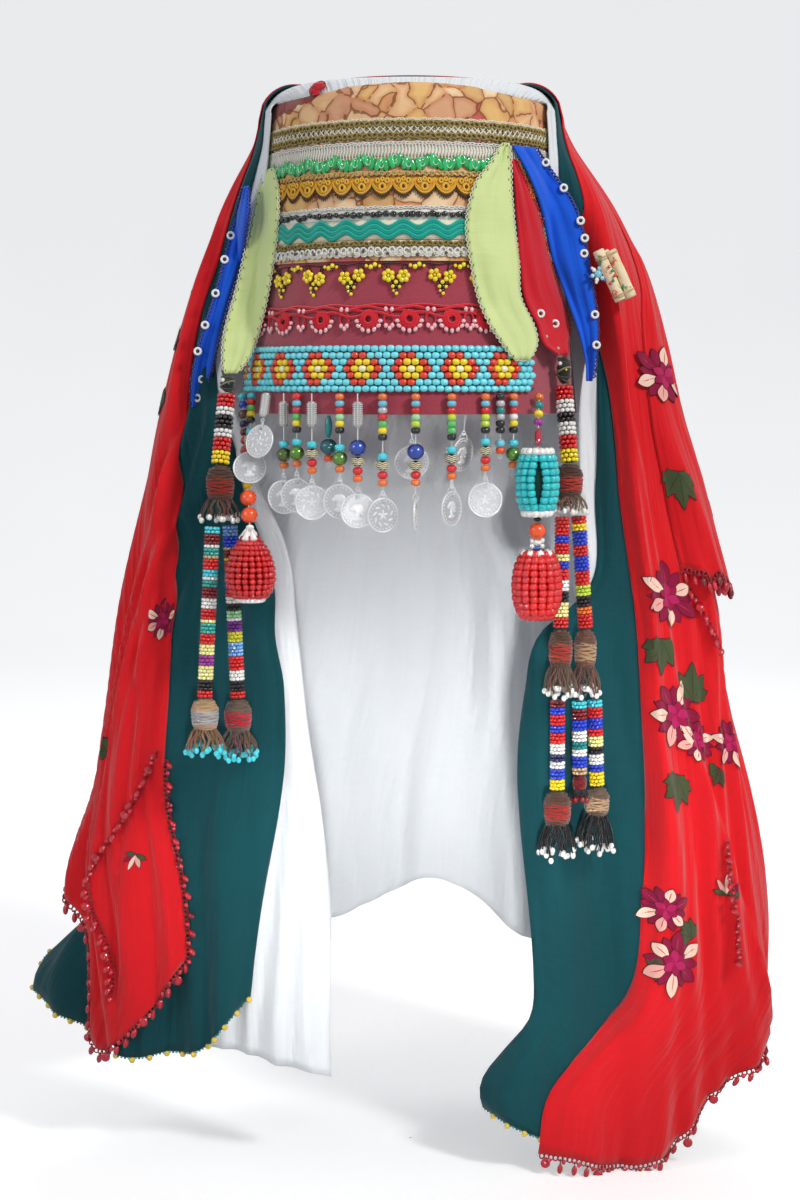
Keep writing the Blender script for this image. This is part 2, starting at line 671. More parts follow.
def cloth_piece(name, bm, inside_out, width, length, thick, slot, finish, node):
    """Gives a cloth's grid its map in metres and its thickness, and settles it."""
    uv = bm.loops.layers.uv.active
    for face in bm.faces:
        face.smooth = True
        for loop in face.loops:
            loop[uv].uv = (loop[uv].uv[0] * width, loop[uv].uv[1] * length)
    bm.normal_update()
    if inside_out(bm):
        bmesh.ops.reverse_faces(bm, faces=bm.faces)
    area = sum(f.calc_area() for f in bm.faces)
    mesh = bpy.data.meshes.new(name)
    bm.to_mesh(mesh)
    bm.free()
    piece = settle(name, mesh, slot, [finish], node)
    solid = piece.modifiers.new("thickness", "SOLIDIFY")
    solid.thickness, solid.offset = thick, 0
    print(f"{name}: {area * 1e4:.1f} square centimetres of cloth")
    return piece


def hung(name, scarf, slot, finish, width, length, across, over, down, node):
    """A scarf, whose grid has rows over the crown and rows down to the hem."""
    rows = over + down
    bm = cloth_grid(across, rows)
    flat = np.array([v.co[:] for v in bm.verts])
    u, v = (flat[:, 0] + 1) / 2, (1 - flat[:, 1]) / 2 * rows
    side = scarf.side(u, np.clip((v - over) / down, 0, 1))
    if over:
        crown = scarf.crown(u, np.clip(v / over, 0, 1))
        side = np.where((v < over - 1e-6)[:, None], crown, side)
    for vert, point in zip(bm.verts, side * MM):
        vert.co = point

    def inside_out(bm):
        return max(bm.faces, key=lambda f: f.calc_center_median().y).normal.y < 0

    return cloth_piece(name, bm, inside_out, width, length, muslin_thick, slot, finish, node)


map_wide, map_long, across, over_crown = 0.95, 0.6, 280, 20
white_piece = hung("white_cloth", white, "white_cotton", white_cloth, map_wide, map_long,
                   across, over_crown, 96, "white_scarf")
teal_piece = hung("teal_cloth", teal, "teal_crepe", teal_cloth, map_wide, map_long,
                  across, over_crown, 96, "teal_scarf")
red_piece = hung("red_cloth", red, "red_muslin", red_cloth, map_wide, map_long,
                 across, over_crown, 100, "red_scarf")
fold_piece = hung("red_cloth_fold", fold, "red_muslin", red_cloth, 0.2, 0.26, 60, 0, 60,
                  "red_scarf_fold")

# %% [markdown]
# ## Glass, thread and silver
#
# The small parts share a few finishes. Glass beads take their colour from the heap's attribute
# and shine; thread takes it too, but is matt and hairy; struck silver is bright with a grey film
# in its low places.

# %% Finishes of the small parts
glass = Finish("bead_glass", Coat_Weight=0.8, Coat_Roughness=0.06, Specular_IOR_Level=0.6)
glass.set(Base_Color=glass.mix(glass.noise(glass.place(), 700.0, 1) * 0.5, glass.tint(),
                               dye(255, 255, 255), "SOFT_LIGHT"),
          Roughness=glass.noise(glass.place(), 300.0, 1) * 0.15 + 0.12)

yarn = Finish("thread", Sheen_Weight=0.35, Specular_IOR_Level=0.2)
fibre = yarn.noise(yarn.place(), 1600.0, 3)
shaded = yarn.mix(0.35, yarn.tint(), (0, 0, 0, 1))
yarn.set(Base_Color=yarn.mix(fibre * 0.7 + 0.3, shaded, yarn.tint()),
         Roughness=fibre * 0.2 + 0.75)
yarn.bump(fibre, 0.0003, 0.6)

silver = Finish("struck_silver", Specular_IOR_Level=0.5)
film = silver.noise(silver.place(), 260.0, 4, 0.6)
filmed = silver.mix(0.3, silver.tint(), dye(120, 124, 130))
silver.set(Base_Color=silver.mix(film, silver.tint(), filmed),
           Metallic=film * 0.2 + 0.3, Roughness=film * 0.25 + 0.28)
silver.bump(silver.noise(silver.place(), 1400.0, 2), 0.00006, 0.5)

foil = Finish("metal_bead", Coat_Weight=0.6, Coat_Roughness=0.05)
foil.set(Base_Color=foil.mix(foil.noise(foil.place(), 500.0, 2) * 0.7, foil.tint(),
                             foil.mix(0.2, foil.tint(), dye(250, 250, 220), "SCREEN")),
         Metallic=foil.noise(foil.place(), 500.0, 2) * 0.3 + 0.5, Roughness=0.22)

WHITE, CREAM, BLACK = dye(240, 238, 232), dye(232, 220, 180), dye(14, 14, 18)
TURQUOISE, LIGHT_BLUE, SKY = dye(64, 205, 222), dye(96, 182, 210), dye(110, 160, 225)
RED, ORANGE = dye(214, 24, 22), dye(236, 106, 34)
CORAL, DARK_RED = dye(240, 76, 24), dye(122, 16, 24)
YELLOW, LIME = dye(250, 214, 24), dye(186, 214, 50)
GREEN, PALE_GREEN = dye(84, 184, 92), dye(150, 214, 150)
BLUE, NAVY, PURPLE, TEAL = dye(28, 60, 200), dye(20, 28, 84), dye(110, 30, 130), dye(12, 130, 130)
BROWN, TAN, GREY = dye(92, 62, 46), dye(190, 158, 120), dye(180, 180, 182)
print("bead colours: turquoise is", [round(c, 2) for c in TURQUOISE[:3]])

# %% [markdown]
# ## The coin drops
#
# Each drop is a wire through a stack of beads, with a twisted eye, a ring and a pierced coin. A
# coin could be a plain disc, but its raised rim, the dots inside it and the low relief are what
# catch the light. The disc is filled between its edge and its hole and extruded; a head in
# profile stands on one side, a wreath round a star on the other, both plain shapes of no
# particular mint.

# %% A coin
bead = turned([(0.3, -0.5), (0.7, -0.46), (0.93, -0.27), (1, 0), (0.93, 0.27), (0.7, 0.46),
               (0.3, 0.5)], 10)
bead_row = turned([(0.55, -0.5), (1, -0.22), (1, 0.22), (0.55, 0.5)], 6)
dot = ball(4, 6)
round_bead = ball(8, 12)


hole_up, coin_sides = 6.9, 44


def coin_disc(radius=8.6, hole=0.9, thick=0.7):
    bm = bmesh.new()
    bmesh.ops.create_circle(bm, segments=coin_sides, radius=radius)
    bmesh.ops.create_circle(bm, segments=12, radius=hole,
                            matrix=Matrix.Translation((0, hole_up, 0)))
    bmesh.ops.triangle_fill(bm, edges=bm.edges, use_beauty=True)
    out = bmesh.ops.extrude_face_region(bm, geom=bm.faces[:])
    bmesh.ops.translate(bm, vec=(0, 0, thick),
                        verts=[v for v in out["geom"] if isinstance(v, bmesh.types.BMVert)])
    bmesh.ops.translate(bm, vec=(0, 0, -thick / 2), verts=bm.verts)
    bmesh.ops.recalc_face_normals(bm, faces=bm.faces)
    # its two faces stay flat where they meet the edge
    bmesh.ops.split_edges(bm, edges=[e for e in bm.edges if e.calc_face_angle(0) > 1])
    return shape(bm)


disc = coin_disc()
coin_rim = turned([(8.15, -0.3), (8.35, -0.5), (8.8, -0.5), (9, -0.3), (9, 0.3), (8.8, 0.5),
                   (8.35, 0.5), (8.15, 0.3), (8.15, -0.3)], coin_sides)
BRIGHT, STRUCK = dye(252, 252, 252), dye(208, 210, 213)


def strike(heap, centre, axes, head):
    """A coin whose front faces the frame's -Y, with its hole up."""
    face = axes @ np.array([[1, 0, 0], [0, 0, -1], [0, 1, 0]], float)

    def put(made, x, y, z, size, turn=0.0):
        spin = np.array([[math.cos(turn), -math.sin(turn), 0],
                         [math.sin(turn), math.cos(turn), 0], [0, 0, 1]])
        heap.put(made, centre + face @ np.array([x, y, z]), STRUCK if made is disc else BRIGHT,
                 size, face @ spin, 1)

    def put_round(made, count, radius, z, size, turn=None):
        for k in range(count):
            a = math.tau * k / count
            put(made, radius * math.sin(a), radius * math.cos(a), z, size,
                0.0 if turn is None else turn - a)

    put(disc, 0, 0, 0, 1)
    put(coin_rim, 0, 0, 0, 1)
    for z in (0.36, -0.36):
        put_round(dot, 24, 7.2, z, 0.45)
    front = 0.34 if head else -0.34
    for x, y, wide, high, turn in ((0.5, 0.9, 2.7, 3.2, -0.2), (-1.4, 1.9, 2.2, 1.9, 0.5),
                                   (2.9, 0.4, 0.75, 0.5, -0.4), (2.2, -1.4, 1.0, 0.7, 0.1),
                                   (-0.4, -2.6, 1.5, 2.4, 0.25), (-0.3, -4.2, 3.4, 1.2, 0.1),
                                   (-3.2, 0.9, 1.2, 1.2, 0)):
        put(pearl, x, y, front, (wide, high, 0.42), turn)
    put_round(pearl, 9, 4.9, -front, (0.6, 1.7, 0.3), 0.9)
    put_round(pearl, 5, 1.5, -front, (0.65, 1.6, 0.32), 0.0)


print("a coin's disc has", len(disc[1]), "faces")

# %% Turning and tilting
def about(axis, degrees):
    return np.array(Matrix.Rotation(math.radians(degrees), 3, axis))


def circle(radius, steps, z, axes, centre):
    a = ring_angles(steps)
    ring = np.stack([radius * np.cos(a), radius * np.sin(a), np.full(steps, z)], -1)
    return ring @ axes.T + np.array(centre, float)


def helix(radius, height, turns, steps, start=0.0):
    """A winding thread, whose radius is a function of how far down it is."""
    t = np.linspace(0, 1, steps)
    a = start + t * turns * math.tau
    return np.stack([radius(t) * np.cos(a), radius(t) * np.sin(a), -height * t], -1)


# %% The beads of a drop
tube = turned([(0.25, 0), (0.8, 0)] + [(0.98 - 0.14 * (k % 2), -0.02 - 0.96 * k / 16)
                                      for k in range(17)] + [(0.8, -1), (0.25, -1)], 12)
# the radius and the height of each kind of bead
bead_kinds = {"seed": (2.5, 3.3), "tube": (2.6, 13), "turquoise": (2.7, 3.7), "ball": (4, 7.4),
              "big": (4.5, 8.4), "ribbed": (3.7, 5.2), "round": (2.7, 4.4)}


def bead_size(kind):
    return bead_kinds[kind] if isinstance(kind, str) else kind


def thread_bead(heap, kind, top, down, colour, finish=0):
    """One bead of a kind on its wire, from its top downwards; returns its height."""
    r, h = bead_size(kind)
    axes = basis(-np.array(down, float))
    middle = np.array(top) + np.array(down) * h / 2
    if kind == "tube":
        heap.put(tube, top, dye(196, 194, 190), (r * 0.9, r * 0.9, h), axes, 1)
        for k in range(8):
            out = axes @ ray(math.tau * k / 8)
            for down_by in np.arange(0.1, 0.92, 0.085):
                heap.put(dot, np.array(top) - axes[:, 2] * h * down_by + out * r * 0.86,
                         size=0.42, finish=1)
    elif kind == "ribbed":
        heap.put(round_bead, middle, BLACK, (r * 0.92, r * 0.92, h / 2), axes)
        for at in (-0.55, -0.18, 0.18, 0.55):
            ring = circle(r * math.sqrt(1 - at * at * 0.9) * 0.97, 12, at * h / 2, axes, middle)
            heap.thread([ring + axes[:, 2] * 0.35 * np.cos(np.arange(12) * math.pi)[:, None]],
                        0.32, CREAM, closed=True)
    elif kind in ("ball", "big", "round") or not isinstance(kind, str):
        heap.put(round_bead, middle, colour, (r, r, h / 2), axes, finish)
    else:
        heap.put(bead, middle, colour, (r, r, h), axes, finish)
    return h


bead_gap, wire_r = 0.12, 0.35
green_end = [("turquoise", TURQUOISE), ("ball", dye(88, 150, 36), 2), ("seed", ORANGE), 2]
olive_end = [("turquoise", TURQUOISE), ("ball", dye(72, 98, 28), 2), ("seed", ORANGE), 2]
ribbed_end = [("turquoise", TURQUOISE), ("ribbed", CREAM), ("round", RED), ("seed", ORANGE), 2]
blue_end = [("big", dye(20, 70, 190), 2), ("ribbed", CREAM), ("round", RED), ("seed", ORANGE), 2]


def seeds(*colours):
    return [("seed", c) for c in colours]


# angle from the front, lean, the coin's turn, and what is on the wire: a number is bare wire
drops = [
    (-65, 22, 0, [*seeds(TURQUOISE, RED, GREEN, YELLOW, BLACK), 3, ("turquoise", TURQUOISE),
                  ("ribbed", CREAM)]),
    (-54, 14, -35, [("tube", GREY)]),
    (-45.1, 0, -14, [4, ("tube", GREY), 7, *olive_end]),
    (-39.3, 0, -18, [*seeds(RED, LIGHT_BLUE, dye(190, 40, 60), GREEN, YELLOW, BLACK), 2.6,
                     *green_end]),
    (-33.2, 0, 0, [4, ("tube", GREY), 7, *ribbed_end]),
    (-23.1, 0, -14, [*seeds(ORANGE, LIGHT_BLUE, RED, PALE_GREEN, YELLOW, BLACK), 5, *green_end]),
    (-17.1, 0, 0, [4, ("tube", GREY), 6, *blue_end]),
    (-9.1, 0, 30, [*seeds(ORANGE, LIGHT_BLUE, GREY, RED, GREEN, YELLOW, BLACK), 6, *ribbed_end]),
    (1.2, 0, 84, [*seeds(ORANGE, LIGHT_BLUE, RED, PALE_GREEN, LIME, BLACK), 4.6, *blue_end]),
    (12.5, 0, 54, [*seeds(ORANGE, LIGHT_BLUE, RED, LIME, GREEN, GREEN, BLACK), 2.6,
                   *ribbed_end]),
    (23.7, 0, -6, [*seeds(ORANGE, LIGHT_BLUE, RED, LIME, LIME, BLACK), 2, *ribbed_end]),
    (29, 0, 0, [*seeds(BLACK, GREY, TEAL, GREY, BLACK, BLACK), 3, ("turquoise", LIGHT_BLUE),
                ("seed", CORAL)]),
    (34, 0, 0, [*seeds(ORANGE, LIGHT_BLUE, RED, WHITE, YELLOW, BLACK), 3, *green_end]),
    (-28.5, 0, 0, [((2, 12), TEAL), ("big", dye(6, 84, 92)), ("seed", CORAL)]),
    (0, -13, 4, [12]),
    (17.7, -13, 50, [8])]


# the first drops hang in front, and some of the others have no coin or hang from the rim
front_drops, without_coin, first_at_rim = 11, (11, 12, 13), 13
band_foot_r, band_foot_z, rim_r, rim_z = 93.9, 10.7, 89.75, -0.3
eye_half, ring_r, eye_gap = 0.875, 2.0, 0.25


def hang_drop(heap, wires, k):
    theta, lean, turn, beads = drops[k]
    r, z = (rim_r, rim_z) if k >= first_at_rim else (band_foot_r, band_foot_z)
    t = math.radians(theta)
    place = np.array([r * math.sin(t), -r * math.cos(t), z])
    axes = about("Z", turn if k < front_drops else theta) @ about("X", -lean)
    down = axes @ np.array([0, 0, -1.0])
    used = bead_gap
    for item in beads:
        if isinstance(item, tuple):
            used += thread_bead(heap, item[0], place + down * used, down, *item[1:]) + bead_gap
        else:
            used += item + bead_gap
    long = used - bead_gap + 2 * wire_r
    end = place + down * long
    wires.append(np.array([place, end]))
    wires.append(circle(1.05, 12, 0, axes @ about("X", 90), end + down * eye_half))
    if k not in without_coin:
        coin_axes = axes if k < front_drops else axes @ about("Z", turn - theta)
        ring_at = end - coin_axes[:, 2] * (eye_half + eye_gap + ring_r)
        ring = circle(ring_r, 14, 0, coin_axes @ about("Z", 50) @ about("Y", 90), ring_at)
        heap.thread([ring], 0.35, closed=True, sides=1, finish=1)
        strike(heap, ring_at - coin_axes[:, 2] * (ring_r + hole_up), coin_axes, k % 3 != 1)


fringe_finishes = [glass, silver, foil]
wire_runs = []
for k in range(front_drops):
    heap = Heap()
    hang_drop(heap, wire_runs, k)
    heap.piece(f"coin_on_drop_{k + 1:02d}", "silver_coins", fringe_finishes,
               f"coin_drop_{k + 1:02d}")
heap = Heap()
for k in range(front_drops, len(drops)):
    hang_drop(heap, wire_runs, k)
heap.piece("drops_behind", "silver_coins", fringe_finishes, "inner_drops")

# %% Their wires
heap = Heap()
heap.thread([run for run in wire_runs if len(run) == 2], wire_r, sides=1)
heap.thread([run for run in wire_runs if len(run) > 2], wire_r, closed=True, sides=1)
heap.piece("bright_wires", "silver_wire", [silver], "drop_wires")

# %% [markdown]
# ## The woven bead band
#
# The band is woven of seed beads in rows that lie half a bead apart, like bricks. It could be a
# bump on a strip, but every bead glints by itself, so each one is there. A small rule gives each
# bead its colour from where it lies in its flower: pale heart, yellow, red, and turquoise ground.

# %% The bead band
band_left, band_right, band_low, band_rows = -84, 46, 11.3, 7
row_high = (35.2 - band_low) / band_rows
flower_at, flower_pitch, beads_a_flower = -0.2, 16.0, 6
brick_bead = turned([(0.3, -0.48), (0.66, -0.44), (0.9, -0.31), (1.01, -0.12), (1.01, 0.12),
                     (0.9, 0.31), (0.66, 0.44), (0.3, 0.48)], 10)
heap = Heap()
count = 0
step = flower_pitch / beads_a_flower
for row in range(band_rows):
    z = band_low + row_high * (row + 0.5)
    n = abs(row - band_rows // 2)
    for k in range(-40, 30):
        beads_off = k + 0.5 * (n % 2)
        turn = flower_at + step * beads_off
        if not band_left + 1.2 < turn < band_right - 1.4 - (n == 3) * step:
            continue
        # rings of beads round each heart: dx is in beads, n in rows
        dx = (beads_off + 3) % beads_a_flower - 3
        ring = max(n, abs(dx) + n / 2) + (n == 2 and dx > 0.4) + (turn > 39)
        colour = (dye(250, 244, 190) if ring == 0 else YELLOW if ring == 1 else
                  dye(226, 50, 28) if ring == 2 else dye(110, 224, 238))
        t = math.radians(turn)
        shade, size = near_one(0.14), near_one(0.07)
        heap.put(brick_bead, on_cap(turn, z + 0.3 * (chance.random() - 0.5), 1.6),
                 toned(colour, shade), (1.72 * size, 1.72 * size, math.radians(step) * cap_r(z)),
                 basis((math.cos(t), math.sin(t), 0.07 * (chance.random() - 0.5))))
        count += 1
for z in np.arange(band_low + row_high / 2, 35, row_high):
    run = on_cap(np.linspace(band_left + 1, band_right - 1.4, 60), z, 0.9)
    heap.thread([run], 0.55, dye(24, 84, 104), finish=1)
heap.piece("bead_weave", "seed_beads", [glass, yarn], "bead_band")
print(count, "beads in the band")

# %% [markdown]
# ## Beaded ropes
#
# A string of seed beads is wound round a soft cord, so a rope shows rings of beads in bands of
# colour. Each ring is a row of one low shape that has twenty faces, because there are thousands
# of them, and its beads lie along the ring as they do on their thread.

# %% Ropes
left_ropes = [((-97.6, -48, 10.2), (-100.8, -55, -26.5)),
              ((-104.5, -62, -59), (-109, -66, -149)), ((-96, -53, -59), (-92.4, -54, -151))]
right_ropes = [((80, -54, 14.4), (83, -60, -25.5)), ((79, -66, -53.6), (78.4, -67, -112)),
               ((88, -59, -53.6), (92.2, -58, -113)), ((77, -68, -150), (77.2, -68, -198)),
               ((89, -61, -151.6), (89.5, -61, -191)), ((97.6, -56, -151.6), (99.2, -56, -198))]
short_bands = [(RED, 1), (WHITE, 1), (BLACK, 1), (WHITE, 1), (RED, 1), (YELLOW, 1.1)]
PINK, VIOLET = dye(232, 90, 90), dye(150, 40, 140)
JADE, PALE_YELLOW = dye(44, 160, 150), dye(244, 236, 150)
left_bands = [
    short_bands,
    [(TURQUOISE, 1), (DARK_RED, 1), (WHITE, .35), (JADE, 1), (TAN, .4), (RED, 1.3),
     (TURQUOISE, .7), (WHITE, .5), (JADE, .6), (DARK_RED, 1.2), (WHITE, 1.3), (RED, 1.1),
     (PALE_YELLOW, .7), (JADE, 1.3), (RED, 1.1), (PALE_YELLOW, 1.3), (VIOLET, 1.3),
     (PALE_YELLOW, 1.3), (BLACK, 1.2), (RED, 1)],
    [(SKY, 1), (BLUE, 1.4), (TAN, .5), (DARK_RED, .5), (YELLOW, .5), (RED, 1.2), (TEAL, 1),
     (BLUE, 1), (RED, 1), (WHITE, .6), (BLACK, 1), (PALE_GREEN, .6), (WHITE, .6),
     (PURPLE, 1.2), (dye(200, 196, 40), 1.1), (SKY, 1.5), (RED, 1.6), (WHITE, 1.3),
     (BLACK, 1.2), (RED, .8)]]
right_bands = [
    short_bands,
    [(RED, 1.6), (BLUE, .9), (RED, 1.1), (PALE_YELLOW, .4), (BLUE, 1), (RED, 1), (WHITE, 1),
     (BLACK, 1), (PALE_YELLOW, 1.2), (RED, 1.2)],
    [(RED, .8), (YELLOW, .5), (BLUE, 1.5), (RED, 1), (BLUE, 1.4), (RED, 1.2), (LIME, 1),
     (BLACK, 1.1), (ORANGE, .5), (RED, 1.5)],
    [(DARK_RED, .8), (BLUE, 1.1), (RED, 1.1), (BLUE, 1.1), (RED, 1.1), (WHITE, 1.1),
     (NAVY, 1), (WHITE, 1), (BLUE, 1), (YELLOW, 1.5)],
    [(TURQUOISE, .9), (DARK_RED, 1), (BLUE, 1.2), (WHITE, 1), (TEAL, .9), (WHITE, .9),
     (BLUE, .9), (TAN, .9)],
    [(TURQUOISE, .9), (RED, 1.1), (BLUE, 1), (RED, 1), (PALE_YELLOW, .8), (BLACK, 1),
     (WHITE, 1), (BLUE, 1), (YELLOW, 1.4)]]


def rope(name, ends, bands, r, bead, node):
    """A rope of a radius, with beads of a size; the bands are its colours and their shares."""
    start, end = (np.array(e, float) for e in ends)
    long = np.linalg.norm(end - start)
    axes = basis(start - end)
    heap = Heap()
    core = turned([(0.001, 0), (r - bead, 0), (r - bead * 0.8, -1), (r - bead * 0.8, 1 - long),
                   (r - bead, -long), (0.001, -long)], 8)
    heap.put(core, start, dye(70, 20, 24), 1, axes, 1)
    rows = int((long - bead) / (bead * 0.94))
    around = int(math.tau * (r - bead / 2) / (bead * 1.06))
    width = np.cumsum([w for _, w in bands])
    for row in range(rows):
        down = bead / 2 + (long - bead) * row / (rows - 1)
        where = (row + 0.5) / rows * width[-1]
        colour = bands[int(np.searchsorted(width, where))][0]
        for k in range(around):
            out = axes @ ray(math.tau * (k + 0.5 * (row % 2)) / around)
            heap.put(bead_row, start - axes[:, 2] * down + out * (r - bead * 0.52),
                     toned(colour, near_one(0.2)), (bead * 0.52, bead * 0.52, bead * 1.02),
                     basis(np.cross(axes[:, 2], out) + axes[:, 2] * 0.06, out))
    heap.piece(name, "seed_beads", [glass, yarn], node)


# the short rope at the top of each side is thicker than the long ones below it
short_r, short_bead, long_r, long_bead = 5, 2.3, 4.2, 1.95
for side, ropes, bands in (("left", left_ropes, left_bands), ("right", right_ropes, right_bands)):
    for k, ends in enumerate(ropes):
        r, size = (short_r, short_bead) if k == 0 else (long_r, long_bead)
        rope(f"{side}_bead_rope_{k + 1}", ends, bands[k], r, size, f"{side}_rope_{k + 1}")

# %% [markdown]
# ## Bead bulbs and their strings
#
# A bulb is strands of beads that run over a ball of cloth from pole to pole. The profile of the
# bulb gives each strand its path, and the beads are set along it at their own length.

# %% Bulbs
def along_profile(profile, step):
    """Points a fixed step apart on a profile of (height, radius), and their directions."""
    line = np.array([(r, z) for z, r in profile], float)
    reach = reach_along(line)
    count = max(2, int(reach[-1] / step))
    at = (np.arange(count) + 0.5) * reach[-1] / count
    r, z = np.interp(at, reach, line[:, 0]), np.interp(at, reach, line[:, 1])
    return r, z, np.gradient(r), np.gradient(z)


def bulb(top, profile, strands, bead, colour, ends, core):
    """A bulb of strands; ends is the colour of each strand's end beads, where they differ."""
    heap = Heap()
    top = np.array(top, float)
    rs, zs, drs, dzs = along_profile(profile, bead[1])
    for k in range(strands):
        out = ray(math.tau * (k + 0.5) / strands)
        for i, (r, z, dr, dz) in enumerate(zip(rs, zs, drs, dzs)):
            wave = 0.35 * math.sin(i * 2.1 + k * 1.7)
            end = i in (0, len(rs) - 1)
            heap.put(seed if strands < 20 else bead_row,
                     top + out * (r - bead[0]) + np.array([-out[1], out[0], 0]) * wave * 0.5
                     + np.array([0, 0, z]),
                     toned(ends if end and ends else colour, near_one(0.18)),
                     (bead[0], bead[0], bead[1]), basis(out * dr + np.array([0, 0, dz]), out))
    heap.put(turned([(max(0.001, r - bead[0] * 1.6), z) for z, r in profile], 16), top,
             core, finish=1)
    return heap


# the bulbs hang below two places, at the left and at the right
def left_at(z):
    return -84.2, -70, z


def right_at(z, dx=0.0):
    return 64.6 + dx, -86, z


red_left = bulb(left_at(-61.3), [(0, 3), (-4, 6), (-10, 10.5), (-18, 13.4), (-26, 13.8),
                                 (-31, 12), (-35, 8.6), (-36, 7)], 20, (1.85, 2.9),
                dye(190, 10, 10), WHITE, dye(80, 4, 8))
for a in (-115, -65, 60, 150):
    out = ray(math.radians(a))
    red_left.put(turned([(0.4, 3.6), (2.1, -2.6), (1.2, -3.2)]), left_at(-62.8) + out * 4.0,
                 WHITE, 1, basis((-out[0] * 0.5, -out[1] * 0.5, 1)))
red_left.piece("left_red_bulb", "seed_beads", [glass, yarn], "red_bulb_left")

heap = Heap()
belly = [(0, 8.2), (-2, 8.8), (-7, 10.7), (-14, 11.6), (-20, 11.6), (-26, 10.9), (-31, 9.4),
         (-34.7, 7.8)]
rs, zs, drs, dzs = along_profile(belly, 3.35)
for k in range(14):
    # the strands part in front and show the ball of cloth
    from_slit = (k + 0.5) / 7 if k < 7 else (k - 13.5) / 7
    for i, (r, z, dr, dz) in enumerate(zip(rs, zs, drs, dzs)):
        part = 13 * math.sin(math.pi * i / (len(rs) - 1)) ** 1.6 * math.copysign(
            1 - abs(from_slit), from_slit)
        out = ray(math.radians(-90 + 180 * from_slit + part))
        end = i in (0, len(rs) - 1)
        heap.put(seed, right_at(-17.3) + out * (r - 2.1) + np.array([0, 0, z]),
                 toned(WHITE if end else dye(24, 186, 192), near_one(0.14)),
                 (2.2, 2.2, 3.3), basis(out * dr + np.array([0, 0, dz]), out))
heap.put(turned([(r - 3.4, z) for z, r in belly], 16), right_at(-17.3), dye(10, 52, 46), finish=1)
heap.piece("turquoise_bead_bulb", "seed_beads", [glass, yarn], "turquoise_bulb")

red_right = bulb(right_at(-70.6), [(0, 8.2), (-2, 9.8), (-8, 12.6), (-17, 13.6), (-25, 13),
                                   (-31, 11), (-34, 8.4)], 16, (2.3, 3.3),
                 dye(200, 14, 10), None, dye(80, 4, 8))
for a in ring_angles(9):
    red_right.put(seed, right_at(-71.2) + ray(a) * 7.3, WHITE, (1.9, 1.9, 3.0),
                  basis((-math.sin(a), math.cos(a), 0.1)))
red_right.piece("right_red_bulb", "seed_beads", [glass, yarn], "red_bulb_right")

# %% Strings above the bulbs
def string(heap, beads, start, end):
    start, end = np.array(start, float), np.array(end, float)
    way = (end - start) / np.linalg.norm(end - start)
    total = sum(bead_size(kind)[1] + bead_gap for kind, _ in beads)
    slack = (np.linalg.norm(end - start) - total) / len(beads)
    used = slack / 2
    for kind, colour in beads:
        used += thread_bead(heap, kind, start + way * used, way, colour) + bead_gap + slack


def band_foot(turn):
    return on_cap(turn, band_foot_z, band_foot_r - float(cap_r(band_foot_z)))


small, coral, pale = (3, 5.4), (4.5, 8.6), (2.2, 2.6)
heap = Heap()
string(heap, [("seed", TURQUOISE), ("seed", BLUE), (small, BROWN), ("seed", NAVY),
              ("seed", DARK_RED), ("seed", RED), (small, PINK), ("seed", BLUE), ("seed", BROWN),
              ("seed", YELLOW), ("seed", YELLOW), (coral, CORAL), (coral, CORAL),
              (pale, WHITE)], band_foot(-76), left_at(-61))
string(heap, [("seed", ORANGE), ("seed", TEAL), ("seed", YELLOW), ("seed", VIOLET),
              ((1.8, 11), dye(170, 16, 50))], band_foot(45), right_at(-17))
string(heap, [(pale, BLACK), (coral, CORAL), (pale, WHITE), (pale, dye(40, 80, 160))],
       right_at(-52.3), right_at(-70.3))
for z in (-64.6, -67.4):
    for dx in (-2.6, 2.6):
        heap.put(seed, right_at(z, dx), WHITE, (1.2, 1.2, 2.2))
heap.piece("strings_of_bulbs", "seed_beads", [glass, silver], "bulb_strings")
heap = Heap()
for top, foot in ((band_foot(-76), left_at(-62.6)), (band_foot(45), right_at(-18.6)),
                  (right_at(-50.7), right_at(-71.9))):
    heap.thread([np.array([top, foot])], 0.35, dye(226, 222, 212), sides=1)
heap.piece("threads_of_bulbs", "thread", [yarn], "bulb_threads")

# %% [markdown]
# ## Tassels
#
# A tassel is a bundle of thread, wound round near its top to make a head, and cut below. Its
# loose locks are twisted, curl outwards and end in beads. The head is turned and wound with real
# cords, and each lock is a thin cord with a bead at its tip.

# %% Tassels
# the radius and height of each one's head, then of its skirt
left_tassels = [(7.4, 18, 10, 13), (7.2, 16, 10, 14), (7.2, 17, 10.5, 16)]
right_tassels = [(7, 17, 9, 9.6), (6.2, 20, 7.6, 17), (5.8, 20, 7.6, 17), (7.2, 18, 9.5, 19),
                 (3.4, 7, 4, 8), (6.6, 15, 9.5, 21)]
OLD_RED = dye(158, 40, 30)
# the colours of its wool, of the thread round its head, of its locks and of their beads
left_looks = [(BROWN, OLD_RED, dye(104, 76, 62), WHITE),
              (TAN, GREY, dye(140, 106, 74), TURQUOISE),
              (dye(110, 92, 76), dye(190, 24, 48), dye(104, 78, 66), TURQUOISE)]
right_looks = [(BROWN, dye(200, 52, 38), dye(126, 94, 70), WHITE),
               (BROWN, dye(176, 48, 36), dye(104, 76, 60), WHITE),
               (dye(120, 80, 66), TAN, dye(108, 80, 64), WHITE),
               (BROWN, dye(168, 34, 26), dye(22, 18, 20), WHITE),
               (DARK_RED, DARK_RED, dye(30, 20, 22), DARK_RED),
               (dye(110, 84, 70), TAN, dye(20, 18, 20), WHITE)]


